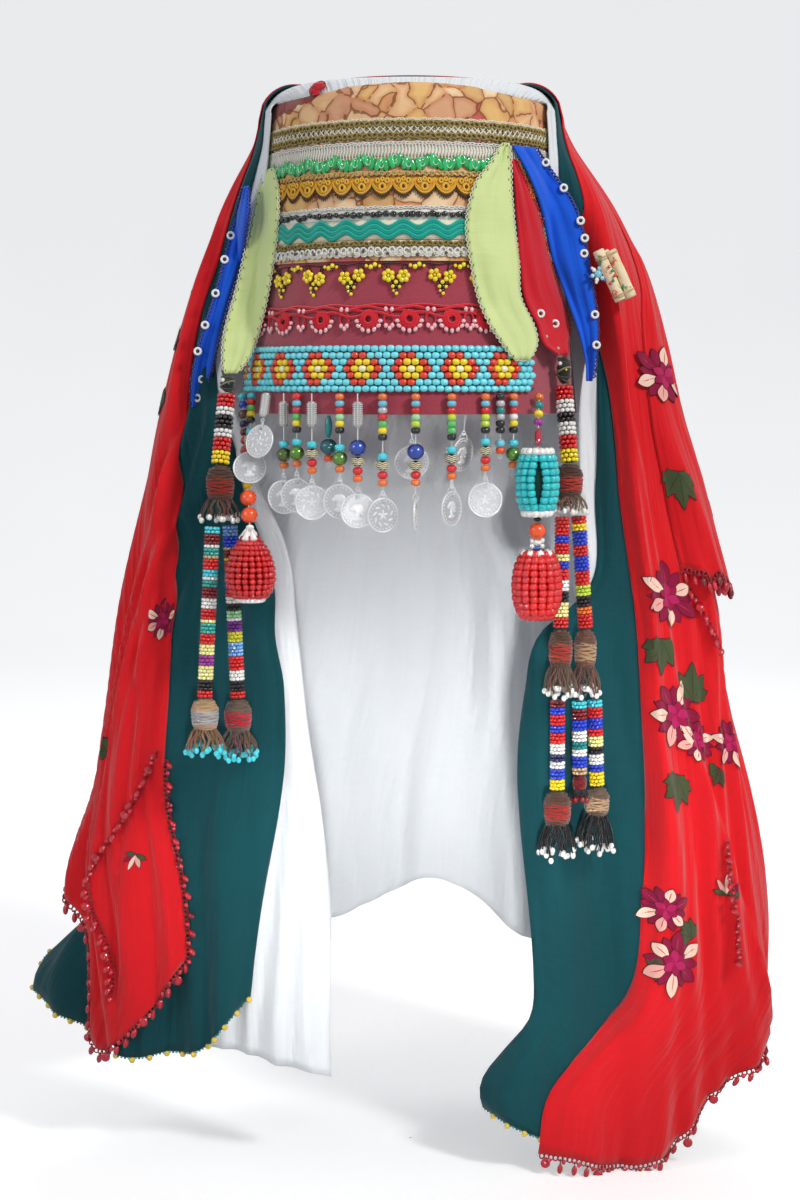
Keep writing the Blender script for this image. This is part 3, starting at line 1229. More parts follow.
def tassel(name, foot, sizes, look, node):
    head_r, head_h, skirt_r, skirt_h = sizes
    wool, wound, lock, tip = look
    top = np.array(foot, float) - np.array([0, 0, 0.6])
    heap = Heap()
    tall = [(0.001, 0), (head_r * 0.3, -0.2), (head_r * 0.7, -head_h * 0.12),
            (head_r * 0.93, -head_h * 0.3), (head_r * 0.95, -head_h * 0.5),
            (head_r * 0.9, -head_h * 0.78), (head_r * 0.74, -head_h), (0.001, -head_h - 1)]
    heap.put(turned(tall, 14), top, toned(wool, 0.8))

    def radius(t, start, end):
        z = (start + (end - start) * t) * head_h
        return np.interp(z, [-p[1] for p in tall], [p[0] for p in tall]) + 0.25

    for k in range(3):
        for start, end, turns, tone in ((0.06, 0.42, 2.2, wool), (0.36, 0.86, 3.2, wound),
                                        (0.8, 0.98, 1.6, wool)):
            run = helix(lambda t: radius(t, start, end), head_h * (end - start), turns,
                        int(turns * 13), k * 2.1)
            run[:, 2] += -start * head_h + 0.5 * np.sin(np.arange(len(run)) * 1.3 + k)
            heap.thread([run], 0.5, mottled(tone, 0.85, 0.3), at=top)
    locks = 30 if head_r > 5 else 12
    for k in range(locks):
        out = ray(math.tau * (k + 0.6 * chance.random()) / locks)
        round_it = np.array([-out[1], out[0], 0])
        inner = 0.45 + 0.4 * chance.random() if k % 3 == 0 else 0.9 + 0.2 * chance.random()
        reach = skirt_r * inner
        drop = (skirt_h - 1.2) * (1 - 0.3 * chance.random())
        t = np.linspace(0, 1, 7)[:, None]
        curl = 1.3 * np.sin(t * (5 + 4 * chance.random()) + k)
        run = (out * (head_r * 0.72 * inner * (1 - t) + reach * t
                      + 1.2 * np.sin(math.pi * t) * (inner > 0.8))
               + round_it * curl * 0.7 + np.array([0, 0, -1.0]) * (head_h * 0.97 + drop * t))
        heap.thread([run], 0.5, mottled(lock, 0.7, 0.6), at=top)
        if k % 3 != 1 or tip is TURQUOISE:
            heap.put(pearl, top + run[-1] - np.array([0, 0, 0.5]), tip, (1.45, 1.45, 1.7),
                     finish=1)
    heap.piece(name, "tassel_thread", [yarn, glass], node)


for side, ropes, sizes, looks in (("left", left_ropes, left_tassels, left_looks),
                                  ("right", right_ropes, right_tassels, right_looks)):
    for k, ends in enumerate(ropes):
        tassel(f"{side}_thread_tassel_{k + 1}", ends[1], sizes[k], looks[k],
               f"{side}_tassel_{k + 1}")

# %% Knots at the heads of the ropes
heap = Heap()
windings = [dye(96, 84, 60), dye(60, 66, 52), dye(150, 138, 110), dye(40, 60, 56), dye(70, 52, 50)]
for place, high in (((-97.2, -47, 15.4), 4.8), ((80, -54, 22.6), 8)):
    place = np.array(place, float)
    heap.put(ball(8, 12), place, dye(44, 44, 38), (3.7, 3.7, high * 0.9))
    for k, tone in enumerate(windings):
        tilt = about("X", 20 * math.sin(k * 2.0)) @ about("Y", 25 * math.cos(k * 1.3))
        z = (k - 2) * high * 0.32
        r = 4.0 * math.sqrt(max(0.1, 1 - (z / high) ** 2))
        heap.thread([circle(r, 14, 0, tilt, (0, 0, z))], 0.55, tone, closed=True, at=place)
    heap.put(pearl, place + np.array([-2.2, -3.2, high * 0.45]), WHITE, 1.15, finish=1)
    heap.put(pearl, place + np.array([1.0, -3.9, 0.3]), YELLOW if place[0] > 0 else TEAL, 0.6,
             finish=1)
heap.piece("knots_of_ropes", "tassel_thread", [yarn, glass], "rope_knots")

# %% [markdown]
# ## Felt and printed cotton
#
# The cap is pressed wool: short fibres lie in every direction, so its finish is noise at two
# scales, with no weave. The cotton over it is printed with outlined patches like petals and
# fruit; Voronoi cells bent by noise give the patches, and the distance to a cell's edge draws
# the brown outline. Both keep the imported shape, because it is already right.

# %% Felt and print
felt = Finish("burgundy_felt", Sheen_Weight=0.5, Sheen_Roughness=0.6, Specular_IOR_Level=0.15)
hair, cloud = felt.noise(felt.place(), 1100.0, 5, 0.7), felt.noise(felt.place(), 28.0, 3)
felt.set(Base_Color=felt.mix(hair * 0.6 + cloud * 0.4, dye(132, 30, 50), dye(190, 66, 86)),
         Roughness=hair * 0.15 + 0.82)
felt.bump(hair, 0.0006, 0.8)

cotton_print = Finish("printed_cotton", Sheen_Weight=0.2, Specular_IOR_Level=0.2, Roughness=0.85)
where = cotton_print.place()
bend = cotton_print.noise(where, 60.0, 2).out("Color")
bent = cotton_print.add("ShaderNodeVectorMath", {"operation": "MULTIPLY_ADD"},
                        {0: bend, 1: (0.012, 0.012, 0.012), 2: where})
cell = cotton_print.add("ShaderNodeTexVoronoi", {"feature": "F1"},
                        {"Vector": bent, "Scale": 78.0}, out="Color")
edge = cotton_print.add("ShaderNodeTexVoronoi", {"feature": "DISTANCE_TO_EDGE"},
                        {"Vector": bent, "Scale": 78.0})
pick = cotton_print.add("ShaderNodeSeparateColor", {}, {0: cell}, "Red")
patch = cotton_print.ramp(pick, (0.0, dye(238, 200, 150)), (0.26, dye(226, 174, 122)),
                          (0.44, dye(244, 218, 176)), (0.6, dye(220, 170, 132)),
                          (0.74, dye(230, 190, 124)), (0.88, dye(204, 112, 100)),
                          (0.93, dye(216, 176, 118)))
patch.node.color_ramp.interpolation = "CONSTANT"
soft_edge = ((edge * -5.0 + 1.0).bigger(0.0)) * 0.45
shaded = cotton_print.mix(soft_edge + cotton_print.noise(where, 150.0, 5, 0.65) * 0.3, patch,
                          dye(206, 140, 104), "MULTIPLY")
line = (edge < 0.03) * (cotton_print.noise(where, 160.0, 2) > 0.43)
height = cotton_print.height(where)
corner = (height - height.out("X") * 0.6 + cotton_print.noise(where, 60.0, 2) * 0.02) > 0.205
inked = cotton_print.mix(line * 0.75, shaded, dye(116, 66, 40))
cotton_print.set(Base_Color=cotton_print.mix(corner * 0.85, inked, dye(128, 36, 52)))
cotton_print.bump(cotton_print.noise(where, 900.0, 2), 0.0002, 0.6)
for node, finish in (("cap", felt), ("print_cover", cotton_print)):
    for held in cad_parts[node].material_slots:
        held.material = finish.material
print("felt and print are on the cap")

# %% [markdown]
# ## Rows of edging on the cap
#
# Every row is sewn flat on the cap, so it is modelled by turn, height and lift and laid on the
# cap's cone. Tapes are thin bent grids, and everything on them is real thread: chains of loops,
# zigzags, picots, with glass drops and beads hung from them.

# %% Laying things on the cap
tape_cotton = Finish("cotton_tape", Sheen_Weight=0.2, Specular_IOR_Level=0.2)
rib_pitch = 0.0007
ribs = (tape_cotton.height(tape_cotton.place()) * (math.tau / rib_pitch)).sine() * 0.5 + 0.5
soil = tape_cotton.noise(tape_cotton.place(), 180.0, 4)
soiled = tape_cotton.mix(0.35, tape_cotton.tint(), dye(150, 120, 70))
tape_cotton.set(Base_Color=tape_cotton.mix(soil * 0.28 + ribs * 0.12, tape_cotton.tint(), soiled),
                Roughness=soil * 0.1 + 0.85)
tape_cotton.bump(ribs, 0.00012, 0.5)
lace_finishes = [yarn, glass, tape_cotton]
LEFT, RIGHT, LOW_RIGHT = -75.5, 69.5, 61.5
OLIVE, DULL_OLIVE, TAPE = dye(158, 134, 62), dye(104, 86, 36), dye(244, 234, 204)


def droop(turn):
    """The rows sink a little towards the left."""
    return -1.4 * ((np.asarray(turn, float) - 8) / 84) ** 2


tape_lift = 1.6


def lay(turn, z, lift):
    return on_cap(turn, z + droop(turn), lift)


def cap_axes(turn, lean=0.0):
    t, a = math.radians(turn), math.radians(lean)
    across = np.array([math.cos(t), math.sin(t), 0])
    up = np.array([0, 0, 1.0])
    return np.column_stack([across * math.cos(a) + up * math.sin(a),
                            (math.sin(t), -math.cos(t), 0),
                            up * math.cos(a) - across * math.sin(a)])


def share(k, count):
    """The turn in the middle of one of many equal shares of a row."""
    return LEFT + (RIGHT - LEFT) * (k + 0.5) / count


def sew_tape(heap, low, high, colour, thick=0.25, across=96, rows=3):
    """A row's tape, between two heights; the lower may be a function of the turn."""
    bm = bmesh.new()
    bmesh.ops.create_grid(bm, x_segments=across, y_segments=rows, size=0.5)
    for vert in bm.verts:
        turn = LEFT + (RIGHT - LEFT) * (vert.co.x + 0.5)
        bottom = low(turn) if callable(low) else low
        vert.co = lay(turn, bottom + (high - bottom) * (vert.co.y + 0.5), tape_lift)
    bmesh.ops.recalc_face_normals(bm, faces=bm.faces)
    bmesh.ops.solidify(bm, geom=bm.faces[:], thickness=thick)
    heap.put(shape(bm), colour=colour, finish=2)


def loops_along(z, lift, pitch, wide, high, thread, lean=0.0, steps=9):
    """A chain of closed loops of thread."""
    r = float(cap_r(z)) + lift
    count = int(math.radians(RIGHT - LEFT) * r / pitch)
    a = ring_angles(steps)
    runs = []
    for k in range(count):
        turn = share(k, count)
        tilt = math.radians(lean * (1 if k % 2 else -1))
        x, y = wide * np.cos(a), high * np.sin(a)
        x, y = x * math.cos(tilt) - y * math.sin(tilt), x * math.sin(tilt) + y * math.cos(tilt)
        runs.append(lay(turn + np.degrees(x / r), z + y + 0.25 * math.sin(k * 1.9),
                        lift + 0.2 * np.sin(a * 2 + k)))
    return cord(runs, thread, True, 0)


def zigzag(z_of, lift, steps):
    return lay(np.linspace(LEFT, RIGHT, steps), z_of(np.arange(steps)), lift)


print("rows of edging run from", LEFT, "to", RIGHT, "degrees")

# %% The olive braid
heap = Heap()
sew_tape(heap, 139.2, 149.9, TAPE, 0.3)
for z in (147.4, 141.4):
    heap.put(loops_along(z, 2.7, 2.7, 1.55, 1.15, 0.52, 30), colour=OLIVE)
    heap.put(loops_along(z - 0.5, 2.35, 2.7, 0.9, 1.5, 0.42, -24), colour=DULL_OLIVE)
heap.put(loops_along(149.6, 2.3, 1.9, 1.1, 0.45, 0.36), colour=TAPE)
for shift in (0, 1):
    heap.thread([zigzag(lambda i: 142.6 + 3.9 * ((i + shift) % 2), 2.4, 58)], 0.55,
                dye(246, 240, 216))
holes = 60
for k in range(holes):
    heap.put(dot, lay(share(k, holes), 144.4, 1.95), dye(120, 104, 60), (0.7, 0.3, 0.8))
heap.piece("olive_chain_braid", "braid", lace_finishes, "olive_braid")

# %% The green drops on white crochet
heap = Heap()
sew_tape(heap, 131.0, 138.2, dye(246, 240, 222))
heap.put(loops_along(137.6, 2.3, 2.1, 1.2, 0.6, 0.36), colour=WHITE)
EMERALD = (dye(14, 150, 72), dye(30, 182, 96), dye(6, 116, 56), dye(18, 164, 80))
runs, lobes, glass_drops = [], 12, 118
for k in range(glass_drops):
    turn = share(k, glass_drops)
    deep = abs(math.sin(math.pi * lobes * (turn - LEFT) / (RIGHT - LEFT) + 0.6))
    low = 131.4 - 2.6 * deep
    runs.append(lay(turn + np.array([0, 0.3, -0.2, 0.1]), np.linspace(137, low, 4), 2.35))
    if k % 2:
        heap.put(dot, lay(turn, 136.2, 1.95), dye(150, 140, 110), (0.35, 0.2, 0.5))
    heap.put(pearl, lay(turn, low - 2.2, 2.5 + 0.4 * (k % 2)), EMERALD[k * 3 % 4],
             (1.8, 0.8, 3.5), cap_axes(turn, 24 * math.sin(k * 2.3)), 1)
    if k % 4 == 0:
        a = ring_angles(9)
        heap.thread([lay(turn + np.cos(a), low - 1.6 + 2.4 * np.sin(a), 3.35)], 0.26,
                    dye(220, 244, 228), closed=True)
heap.thread(runs, 0.3, WHITE)
heap.piece("green_glass_drops", "crochet_lace", lace_finishes, "green_drop_trim")

# %% The yellow pointed lace
heap = Heap()
GOLD, UMBER = dye(246, 190, 56), dye(92, 60, 28)
teeth, points_z, points_deep = 19, 116.2, 5.0


def tooth(turn):
    s = np.sin(math.pi * teeth * (np.asarray(turn, float) - LEFT) / (RIGHT - LEFT))
    return np.abs(s) ** 0.75


def around_tooth(k, dx, z, radius, high):
    """A ring of points in the middle of a point of the lace."""
    a = ring_angles(10)
    return share(k, teeth) + (dx + radius * np.cos(a)) / 1.4, z + high * np.sin(a)


sew_tape(heap, lambda t: points_z - points_deep * float(tooth(t)), 121.6, dye(236, 178, 60), 0.5,
         200, 4)
sew_tape(heap, 121.0, 123.6, dye(240, 226, 184))
heap.put(loops_along(122.2, 2.4, 3.2, 1.4, 1.2, 0.42), colour=dye(226, 176, 84))
heap.thread([zigzag(lambda i: 120.6 + 0.9 * (i % 2), 2.5, 130)], 0.36, UMBER)
turn = np.linspace(LEFT, RIGHT, teeth * 14 + 1)
for lift, up, tone in ((2.3, 0.0, UMBER), (2.5, 1.0, GOLD), (2.6, 2.0, dye(232, 168, 40))):
    z = points_z + up - (points_deep - up * 0.2) * tooth(turn)
    heap.thread([lay(turn, z, lift)], 0.6, tone)
for k in range(teeth):
    for dx, z, radius, high, thread in ((0, 115.6, 1.5, 1.7, 0.75), (-2.4, 118.6, 0.9, 1.1, 0.6),
                                        (2.4, 118.6, 0.9, 1.1, 0.6), (0, 119.4, 0.8, 0.9, 0.6)):
        turns, heights = around_tooth(k, dx, z, radius, high)
        heap.thread([lay(turns, heights, 2.5)], thread, GOLD, closed=True)
        heap.put(dot, lay(share(k, teeth) + dx / 1.4, z, 2.2), UMBER,
                 (0.8 * radius / 1.5, 0.4, radius * 0.6))
for k in range(teeth * 9):
    at = share(k, teeth * 9)
    heap.put(dot, lay(at, 115.3 - 5.1 * float(tooth(at)), 2.3), UMBER, (0.5, 0.5, 0.85))
heap.piece("yellow_pointed_lace", "needle_lace", lace_finishes, "yellow_lace")

# %% Black beads on white tape
heap = Heap()
sew_tape(heap, 98.9, 105.6, dye(250, 247, 238), 0.3)
heap.put(loops_along(105.0, 2.2, 2.6, 1.3, 0.6, 0.36), colour=WHITE)
turn = LEFT + 1
while turn < RIGHT - 1:
    size = 1.2 + 0.6 * chance.random()
    heap.put(seed, lay(turn, 101.6 + 1.3 * (chance.random() - 0.5), 2.6),
             (dye(8, 9, 12), dye(16, 18, 22), dye(8, 20, 22))[int(chance.random() * 3)],
             (size, size, size * 1.6),
             basis((math.cos(math.radians(turn)), math.sin(math.radians(turn)),
                    chance.random() - 0.5)), 1)
    turn += 1.8 + 1.0 * chance.random()
for low in (101.2, 102.0):
    heap.thread([zigzag(lambda i: low + 0.5 * (i % 2), 2.2, 120)], 0.3, dye(150, 146, 140))
heap.piece("black_beads_on_tape", "crochet_lace", lace_finishes, "black_bead_edging")

# %% The teal zigzag braid
heap = Heap()
sew_tape(heap, 88.7, 98.8, dye(246, 238, 212))
waves = 14
turn = np.linspace(LEFT, RIGHT, waves * 14 + 1)
for k in range(6):
    swing = 1.6 * np.cos(np.radians((turn - LEFT) * 360 * waves / (RIGHT - LEFT)))
    heap.thread([lay(turn, 90.6 + 1.3 * k + swing, 2.4 + 0.12 * (k % 2))], 0.74,
                (dye(6, 160, 142), dye(24, 186, 166))[k % 2], sides=1)
heap.piece("teal_zigzag_braid", "ricrac", lace_finishes, "teal_ricrac")

# %% Olive and white lace
heap = Heap()
sew_tape(heap, 81.5, 88.3, dye(244, 238, 216))
heap.put(loops_along(86.8, 2.5, 2.7, 1.5, 1.0, 0.46, 25), colour=OLIVE)
heap.put(loops_along(86.0, 2.3, 2.7, 0.9, 1.2, 0.36, -20), colour=DULL_OLIVE)
heap.put(loops_along(83.0, 2.5, 3.7, 1.5, 1.9, 0.62, 18, 7), colour=WHITE)
heap.put(loops_along(81.4, 2.4, 3.7, 1.7, 1.1, 0.5, -14, 7), colour=dye(246, 240, 226))
picots = 46
for k in range(picots):
    turn = LEFT + (RIGHT - LEFT) * (k + 0.3 + 0.4 * chance.random()) / picots
    heap.put(pearl, lay(turn, 80.9 + 2.4 * chance.random(), 2.9),
             (dye(70, 52, 44), dye(214, 208, 190), dye(120, 128, 90))[k % 3],
             (0.95, 0.7, 0.95), cap_axes(turn), 1)
heap.piece("olive_and_white_lace", "crochet_lace", lace_finishes, "olive_white_lace")

# %% [markdown]
# ### Flowers of beads and thread
#
# On the felt the trimming is netted: five or six beads round one make a flower, two flowers and
# a point make a motif. The red row is needle lace, rings of thread with pale picots below.

# %% Yellow bead motifs
heap = Heap()


def bead_at(turn, dx, z, colour, size, lift=1.5):
    t = turn + math.degrees(dx / (float(cap_r(z)) + lift))
    heap.put(pearl, lay(t, z, lift), mottled(colour, 0.88, 0.24), (size, size * 0.9, size),
             cap_axes(t), 1)


def flower(turn, dx, z, beads):
    start = chance.random() * 6
    for k in range(beads):
        a = start + math.tau * k / beads
        bead_at(turn, dx + 2.2 * math.cos(a), z + 2.2 * math.sin(a), YELLOW, 1.42)
    bead_at(turn, dx, z, dye(240, 190, 20), 0.8, 1.9)


lines = [lay(np.linspace(LEFT, LOW_RIGHT, 80), 76.6 + 0.4 * np.sin(np.arange(80)), 0.8)]
for k, turn in enumerate((-67.5, -52.4, -36.2, -21.3, -5.4, 10.5, 25, 39, 54)):
    heavy = 0.8 * math.sin(k * 2.4)
    for side in (-1, 1):
        flower(turn, side * 3.9 + heavy * 0.3, 70.4 + heavy * side, 5 + (k + side) % 2)
        lines.append(lay(turn + np.array([0.2, 0.9, 2.8]) * side, np.array([64, 67, 76.6]), 0.9))
        lines.append(lay(turn + np.array([0.8, 2.6, 4.6]) * side, np.array([66, 73, 76.2]), 0.9))
    for dx, z, tone, size in ((0, 67.2, YELLOW, 1.2), (-2.4, 66.6, BLACK, 0.8),
                              (2.3, 66.4, BLACK, 0.8), (-1.6, 65.0, YELLOW, 1.05),
                              (1.8, 64.8, YELLOW, 0.95), (0.2, 65.2, BLACK, 0.8),
                              (0, 63.0, BLACK, 0.8), (0.3, 61.4, YELLOW, 1.0),
                              (-1.2, 62.8, YELLOW, 0.8)):
        bead_at(turn, dx, z, tone, size)
    if turn < 50:
        for dx, z, size in ((7.4, 75.6, 1.0), (9.8, 75.0, 1.35), (11.9, 76.2, 1.3),
                            (14.4, 75.4, 0.9)):
            bead_at(turn, dx + heavy, z, YELLOW, size)
        bead_at(turn, 11.2, 73.8, BLACK, 0.7)
heap.thread(lines, 0.36, dye(34, 26, 18))
heap.piece("yellow_bead_flowers", "needle_lace", lace_finishes, "yellow_flower_trim")

# %% Red thread flowers
heap = Heap()
ROSE, BLUSH = dye(232, 34, 52), dye(246, 178, 184)
sweep = np.linspace(LEFT, LOW_RIGHT, 120)
for k, (z, deep, start) in enumerate(((55.4, 0.5, 0), (54.0, 0.9, 80), (52.4, 0.8, 200),
                                      (50.9, 1.3, 20))):
    swing = deep * np.sin(np.radians(sweep * 23 + start))
    heap.thread([lay(sweep, z + swing, 1.1 + 0.3 * (k % 2))], 0.62, ROSE)
centres = (-73, -66, -49.7, -32.1, -14.6, -0.8, 13.5, 25.6, 40, 53)
r = float(cap_r(48)) + 1.4
for k, turn in enumerate(centres):
    def ring(dx, z, radius, lift, steps=14, high=1.0):
        a = ring_angles(steps)
        return lay(turn + np.degrees((dx + radius * np.cos(a)) / r),
                   z + high * radius * np.sin(a), lift)

    heap.thread([ring(0, 48.5, 2.5, 1.6), ring(0, 48.5, 3.7, 1.4)], 0.9, ROSE, closed=True)
    heap.thread([ring(0, 48.5, 4.7, 1.2, 16, 0.95)], 0.6, dye(222, 26, 44), closed=True)
    for j in range(7):
        a = math.radians(180 + 30 * j)
        point = lay(turn + np.degrees(6.1 * math.cos(a) / r), 47.6 + 5.0 * math.sin(a), 1.4)
        heap.put(pearl, point, BLUSH, (1.15, 0.9, 1.45),
                 cap_axes(turn, -math.degrees(a) - 90), 1)
        near = lay(turn + np.degrees(5.2 * math.cos(a) / r), 48 + 4.3 * math.sin(a), 1.4)
        heap.put(dot, near, ROSE, 0.8)
    if turn < 50:
        apart = (centres[k + 1] - turn) / 2
        for dx, z in ((-1.6, 53.6), (1.6, 53.4), (-1.4, 45.2), (0.5, 43.8), (1.9, 45.2)):
            heap.put(pearl, lay(turn + apart + np.degrees(dx / r), z, 1.7), BLUSH,
                     (1.15, 0.9, 1.35), cap_axes(turn), 1)
        heap.thread([ring(math.radians(apart) * r, 48.6, 2.6, 1.1, 10, 1.3)], 0.5, ROSE,
                    closed=True)
heap.piece("red_thread_flowers", "needle_lace", lace_finishes, "red_flower_lace")

# %% [markdown]
# ## Cloth tails, amulet and rosette
#
# Folded kerchief corners hang beside the face. Each is a grid laid on the cap and hanging free
# past it, with a soft roll across and its own edging: pale stitched scallops on the green, navy
# lace with ring beads on the blue, and a picot edge on the red.

# %% Tail cloths
green_cloth = woven("green_cotton", dye(226, 236, 172), dye(192, 212, 134), 0.0007, 0.2, patch=70)
blue_cloth = woven("blue_cotton", dye(18, 104, 236), dye(6, 74, 200), 0.0007, 0.2)
tail_red = woven("red_cotton", dye(216, 24, 42), dye(186, 10, 28), 0.0007, 0.2)
cream_cloth = Finish("printed_roll_cotton", Roughness=0.85, Specular_IOR_Level=0.2)
spot = cream_cloth.noise(cream_cloth.place(), 130.0, 2)
cream_cloth.set(Base_Color=cream_cloth.ramp(
    spot, (0.0, dye(80, 130, 80)), (0.34, dye(110, 150, 100)), (0.38, dye(238, 220, 186)),
    (0.6, dye(232, 208, 170)), (0.64, dye(206, 60, 60)), (0.7, dye(232, 208, 170))))
cream_cloth.bump(cream_cloth.noise(cream_cloth.place(), 900.0, 2), 0.0002, 0.5)

# height, left and right x, and where they differ from most, the stand-off from the cap and the
# least distance forward
green_left = [(129, -78, -73, 3.8, 25), (116, -82, -70, 3.8, 26), (92, -87, -71, 3.8, 28),
              (62, -94, -76, 3.8, 31), (43, -99, -81, 3.8, 35), (30, -100, -86, 3.8, 40),
              (21, -99, -92, 3.8, 44)]
green_right = [(139, 47, 50), (126, 39, 51), (118, 33, 51), (104, 29, 52), (94, 28, 53),
               (80, 30, 55), (60, 34, 56), (46, 40, 63), (37, 46, 65), (28, 53, 61)]
blue_left = [(120, -88.4, -86.6, 14, 11.2), (104, -94, -87, 14.5, 15), (80, -100, -92, 12, 22),
             (59, -106, -99, 7, 22), (41, -112, -104, 3.8, 22), (20, -117, -109, 3.8, 22),
             (3, -118, -116, 3.8, 22)]
blue_right = [(138, 52, 64), (125, 60, 74), (107, 68, 86), (80, 75, 93), (61, 82, 96),
              (44, 88, 98), (28, 92, 97), (17, 93, 96)]
red_rows = [(131, 51, 54), (120, 53, 59), (104, 54, 66), (81, 56, 72), (62, 58, 78),
            (54, 61, 82), (46, 65.5, 84), (36, 69, 82, 5.8), (31, 76, 82, 9.8)]


class Tail:
    """Where a hanging corner of cloth lies, from its rows."""
    def __init__(self, rows, lift=3.8, forward=30):
        usual = (lift, forward)
        self.rows = np.array(sorted((*row, *usual[len(row) - 3:]) for row in rows), float)
        self.low, self.high = self.rows[0, 0], self.rows[-1, 0]

    def at(self, u, z, extra=1.0):
        """A point of the tail: u across from its left edge, at a height."""
        u, z = np.asarray(u, float), np.asarray(z, float)
        x0, x1, lift, least = (np.interp(z, self.rows[:, 0], self.rows[:, k]) if k > 2 else
                               smooth(self.rows, z, k) for k in (1, 2, 3, 4))
        x = x0 + (x1 - x0) * u
        r = cap_r(z) + lift
        y = -np.sqrt(np.maximum(least ** 2, r * r - x * x))
        roll = (0.9 * np.sin(u * 6 + z * 0.06) + 0.5 * np.sin(z * 0.17 + u * 3)
                + 0.5 * np.sin(u * 15 + z * 0.03) - 0.5 * u * (1 - u))
        return np.stack(np.broadcast_arrays(x, y - extra - roll, z), -1)

    def edge(self, u, step):
        """Points a fixed step apart down one edge."""
        z = np.linspace(self.high, self.low, 200)
        return spaced(self.at(np.full(200, float(u)), z), step)


def tail_cloth(name, tail, slot, finish, node):
    bm = cloth_grid(14, 48, 0.5)
    for vert in bm.verts:
        z = tail.low + (tail.high - tail.low) * (vert.co.y + 0.5)
        vert.co = tail.at(vert.co.x + 0.5, z) * MM

    def inside_out(bm):
        return sum(f.normal.y for f in bm.faces) > 0

    return cloth_piece(name, bm, inside_out, 0.02, 0.12, cotton_thick, slot, finish, node)


def scallops(heap, points, out, thread, high, colour):
    """Loops of thread along an edge, bulging outwards."""
    runs = []
    for a, b in zip(points, points[1:]):
        t = np.linspace(0, 1, 6)[:, None]
        way = np.cross(b - a, (0, 1, 0))
        way = way / max(1e-6, np.linalg.norm(way)) * out
        runs.append(a + (b - a) * t + way * high * np.sin(math.pi * t) + [0, -0.27, 0])
    heap.thread(runs, thread, colour)


def ring_bead(heap, place, colour):
    axes = basis((0.1, -1, 0.1))
    heap.thread([circle(1.7, 12, 0, axes, place)], 0.75, colour, closed=True, sides=1, finish=1)
    heap.put(pearl, place, dye(60, 56, 60), (0.8, 0.8, 0.35), axes)


tail_forms, tail_pieces = {}, {}
for name, tail, slot, finish, node in (
        ("green_cloth_left", Tail(green_left), "green_cotton", green_cloth, "green_tail_left"),
        ("green_cloth_right", Tail(green_right), "green_cotton", green_cloth, "green_tail_right"),
        ("blue_cloth_left", Tail(blue_left), "blue_cotton", blue_cloth, "blue_tail_left"),
        ("blue_cloth_right", Tail(blue_right, 3.8, 42), "blue_cotton", blue_cloth,
         "blue_tail_right"),
        ("red_cloth_tail", Tail(red_rows), "red_cotton", tail_red, "red_tail")):
    tail_forms[name] = tail
    tail_pieces[name] = tail_cloth(name, tail, slot, finish, node)

# %% Their edgings
STITCH, SHADOW = dye(238, 236, 214), dye(120, 116, 70)
heap = Heap()
for name in ("green_cloth_left", "green_cloth_right"):
    for u, out in ((0, -1), (1, 1)):
        line = tail_forms[name].edge(u, 2.9)
        scallops(heap, line, out, 0.3, 0.9, STITCH)
        for point in line[::2]:
            heap.put(dot, point + [-0.9 * out, -0.8, 0], SHADOW, (0.3, 0.25, 0.7))
foot = tail_forms["green_cloth_right"].at(np.linspace(0, 1, 5), 28.0)
scallops(heap, foot, -1, 0.3, 0.8, STITCH)
heap.piece("green_edging", "thread", [yarn, glass])

heap = Heap()
NAVY_LACE, PALE_RING = dye(26, 34, 120), dye(236, 236, 240)
for name, u, out in (("blue_cloth_left", 0, -1), ("blue_cloth_left", 1, 1),
                     ("blue_cloth_right", 1, 1)):
    line = tail_forms[name].edge(u, 2.2)
    scallops(heap, line, out, 0.4, 1.5, NAVY_LACE)
    scallops(heap, line[1:] + [0, -0.4, 0.8], out, 0.3, 0.8, dye(60, 90, 200))
    for point in line[3::3]:
        heap.put(dot, point + [out * 1.4, -0.6, 0], dye(20, 26, 90), 0.7, finish=1)
for name, u, heights, shift in (
        ("blue_cloth_left", 0.0, (95, 82, 64, 47, 33), -0.6),
        ("blue_cloth_left", 0.6, (18, 8), 0), ("blue_cloth_right", 1.0, (131, 118, 101, 92), 0.8),
        ("blue_cloth_right", 0.9, (84, 52, 36), 0.8)):
    for z in heights:
        ring_bead(heap, tail_forms[name].at(u, z, 2.0) + [shift, -0.4, 0], PALE_RING)
heap.piece("blue_edging", "thread", [yarn, glass])

heap = Heap()
form_of_red = tail_forms["red_cloth_tail"]
scallops(heap, form_of_red.edge(1, 2.4), 1, 0.35, 1.2, dye(196, 16, 34))
for u, z in ((0.25, 52), (0.55, 47)):
    ring_bead(heap, form_of_red.at(u, z, 3.2), dye(244, 236, 230))
for u, z in ((0.2, 40), (0.5, 34)):
    heap.put(pearl, form_of_red.at(u, z, 2.0), TAN, 1.0, finish=1)
heap.piece("red_edging", "thread", [yarn, glass])

# %% The amulet and the rosette
def roll_shape(radius, long):
    """A rolled cloth, whose ends are a little hollow."""
    end = [(0.001, 1.2), (radius * 0.35, 1.5), (radius * 0.62, 0.8), (radius * 0.9, 0),
           (radius, 0.9)]
    return turned([(r, deep - long / 2) for r, deep in end]
                  + [(radius * 0.97, -long / 4), (radius, 0), (radius * 0.96, long / 4)]
                  + [(r, long / 2 - deep) for r, deep in reversed(end)], 18)


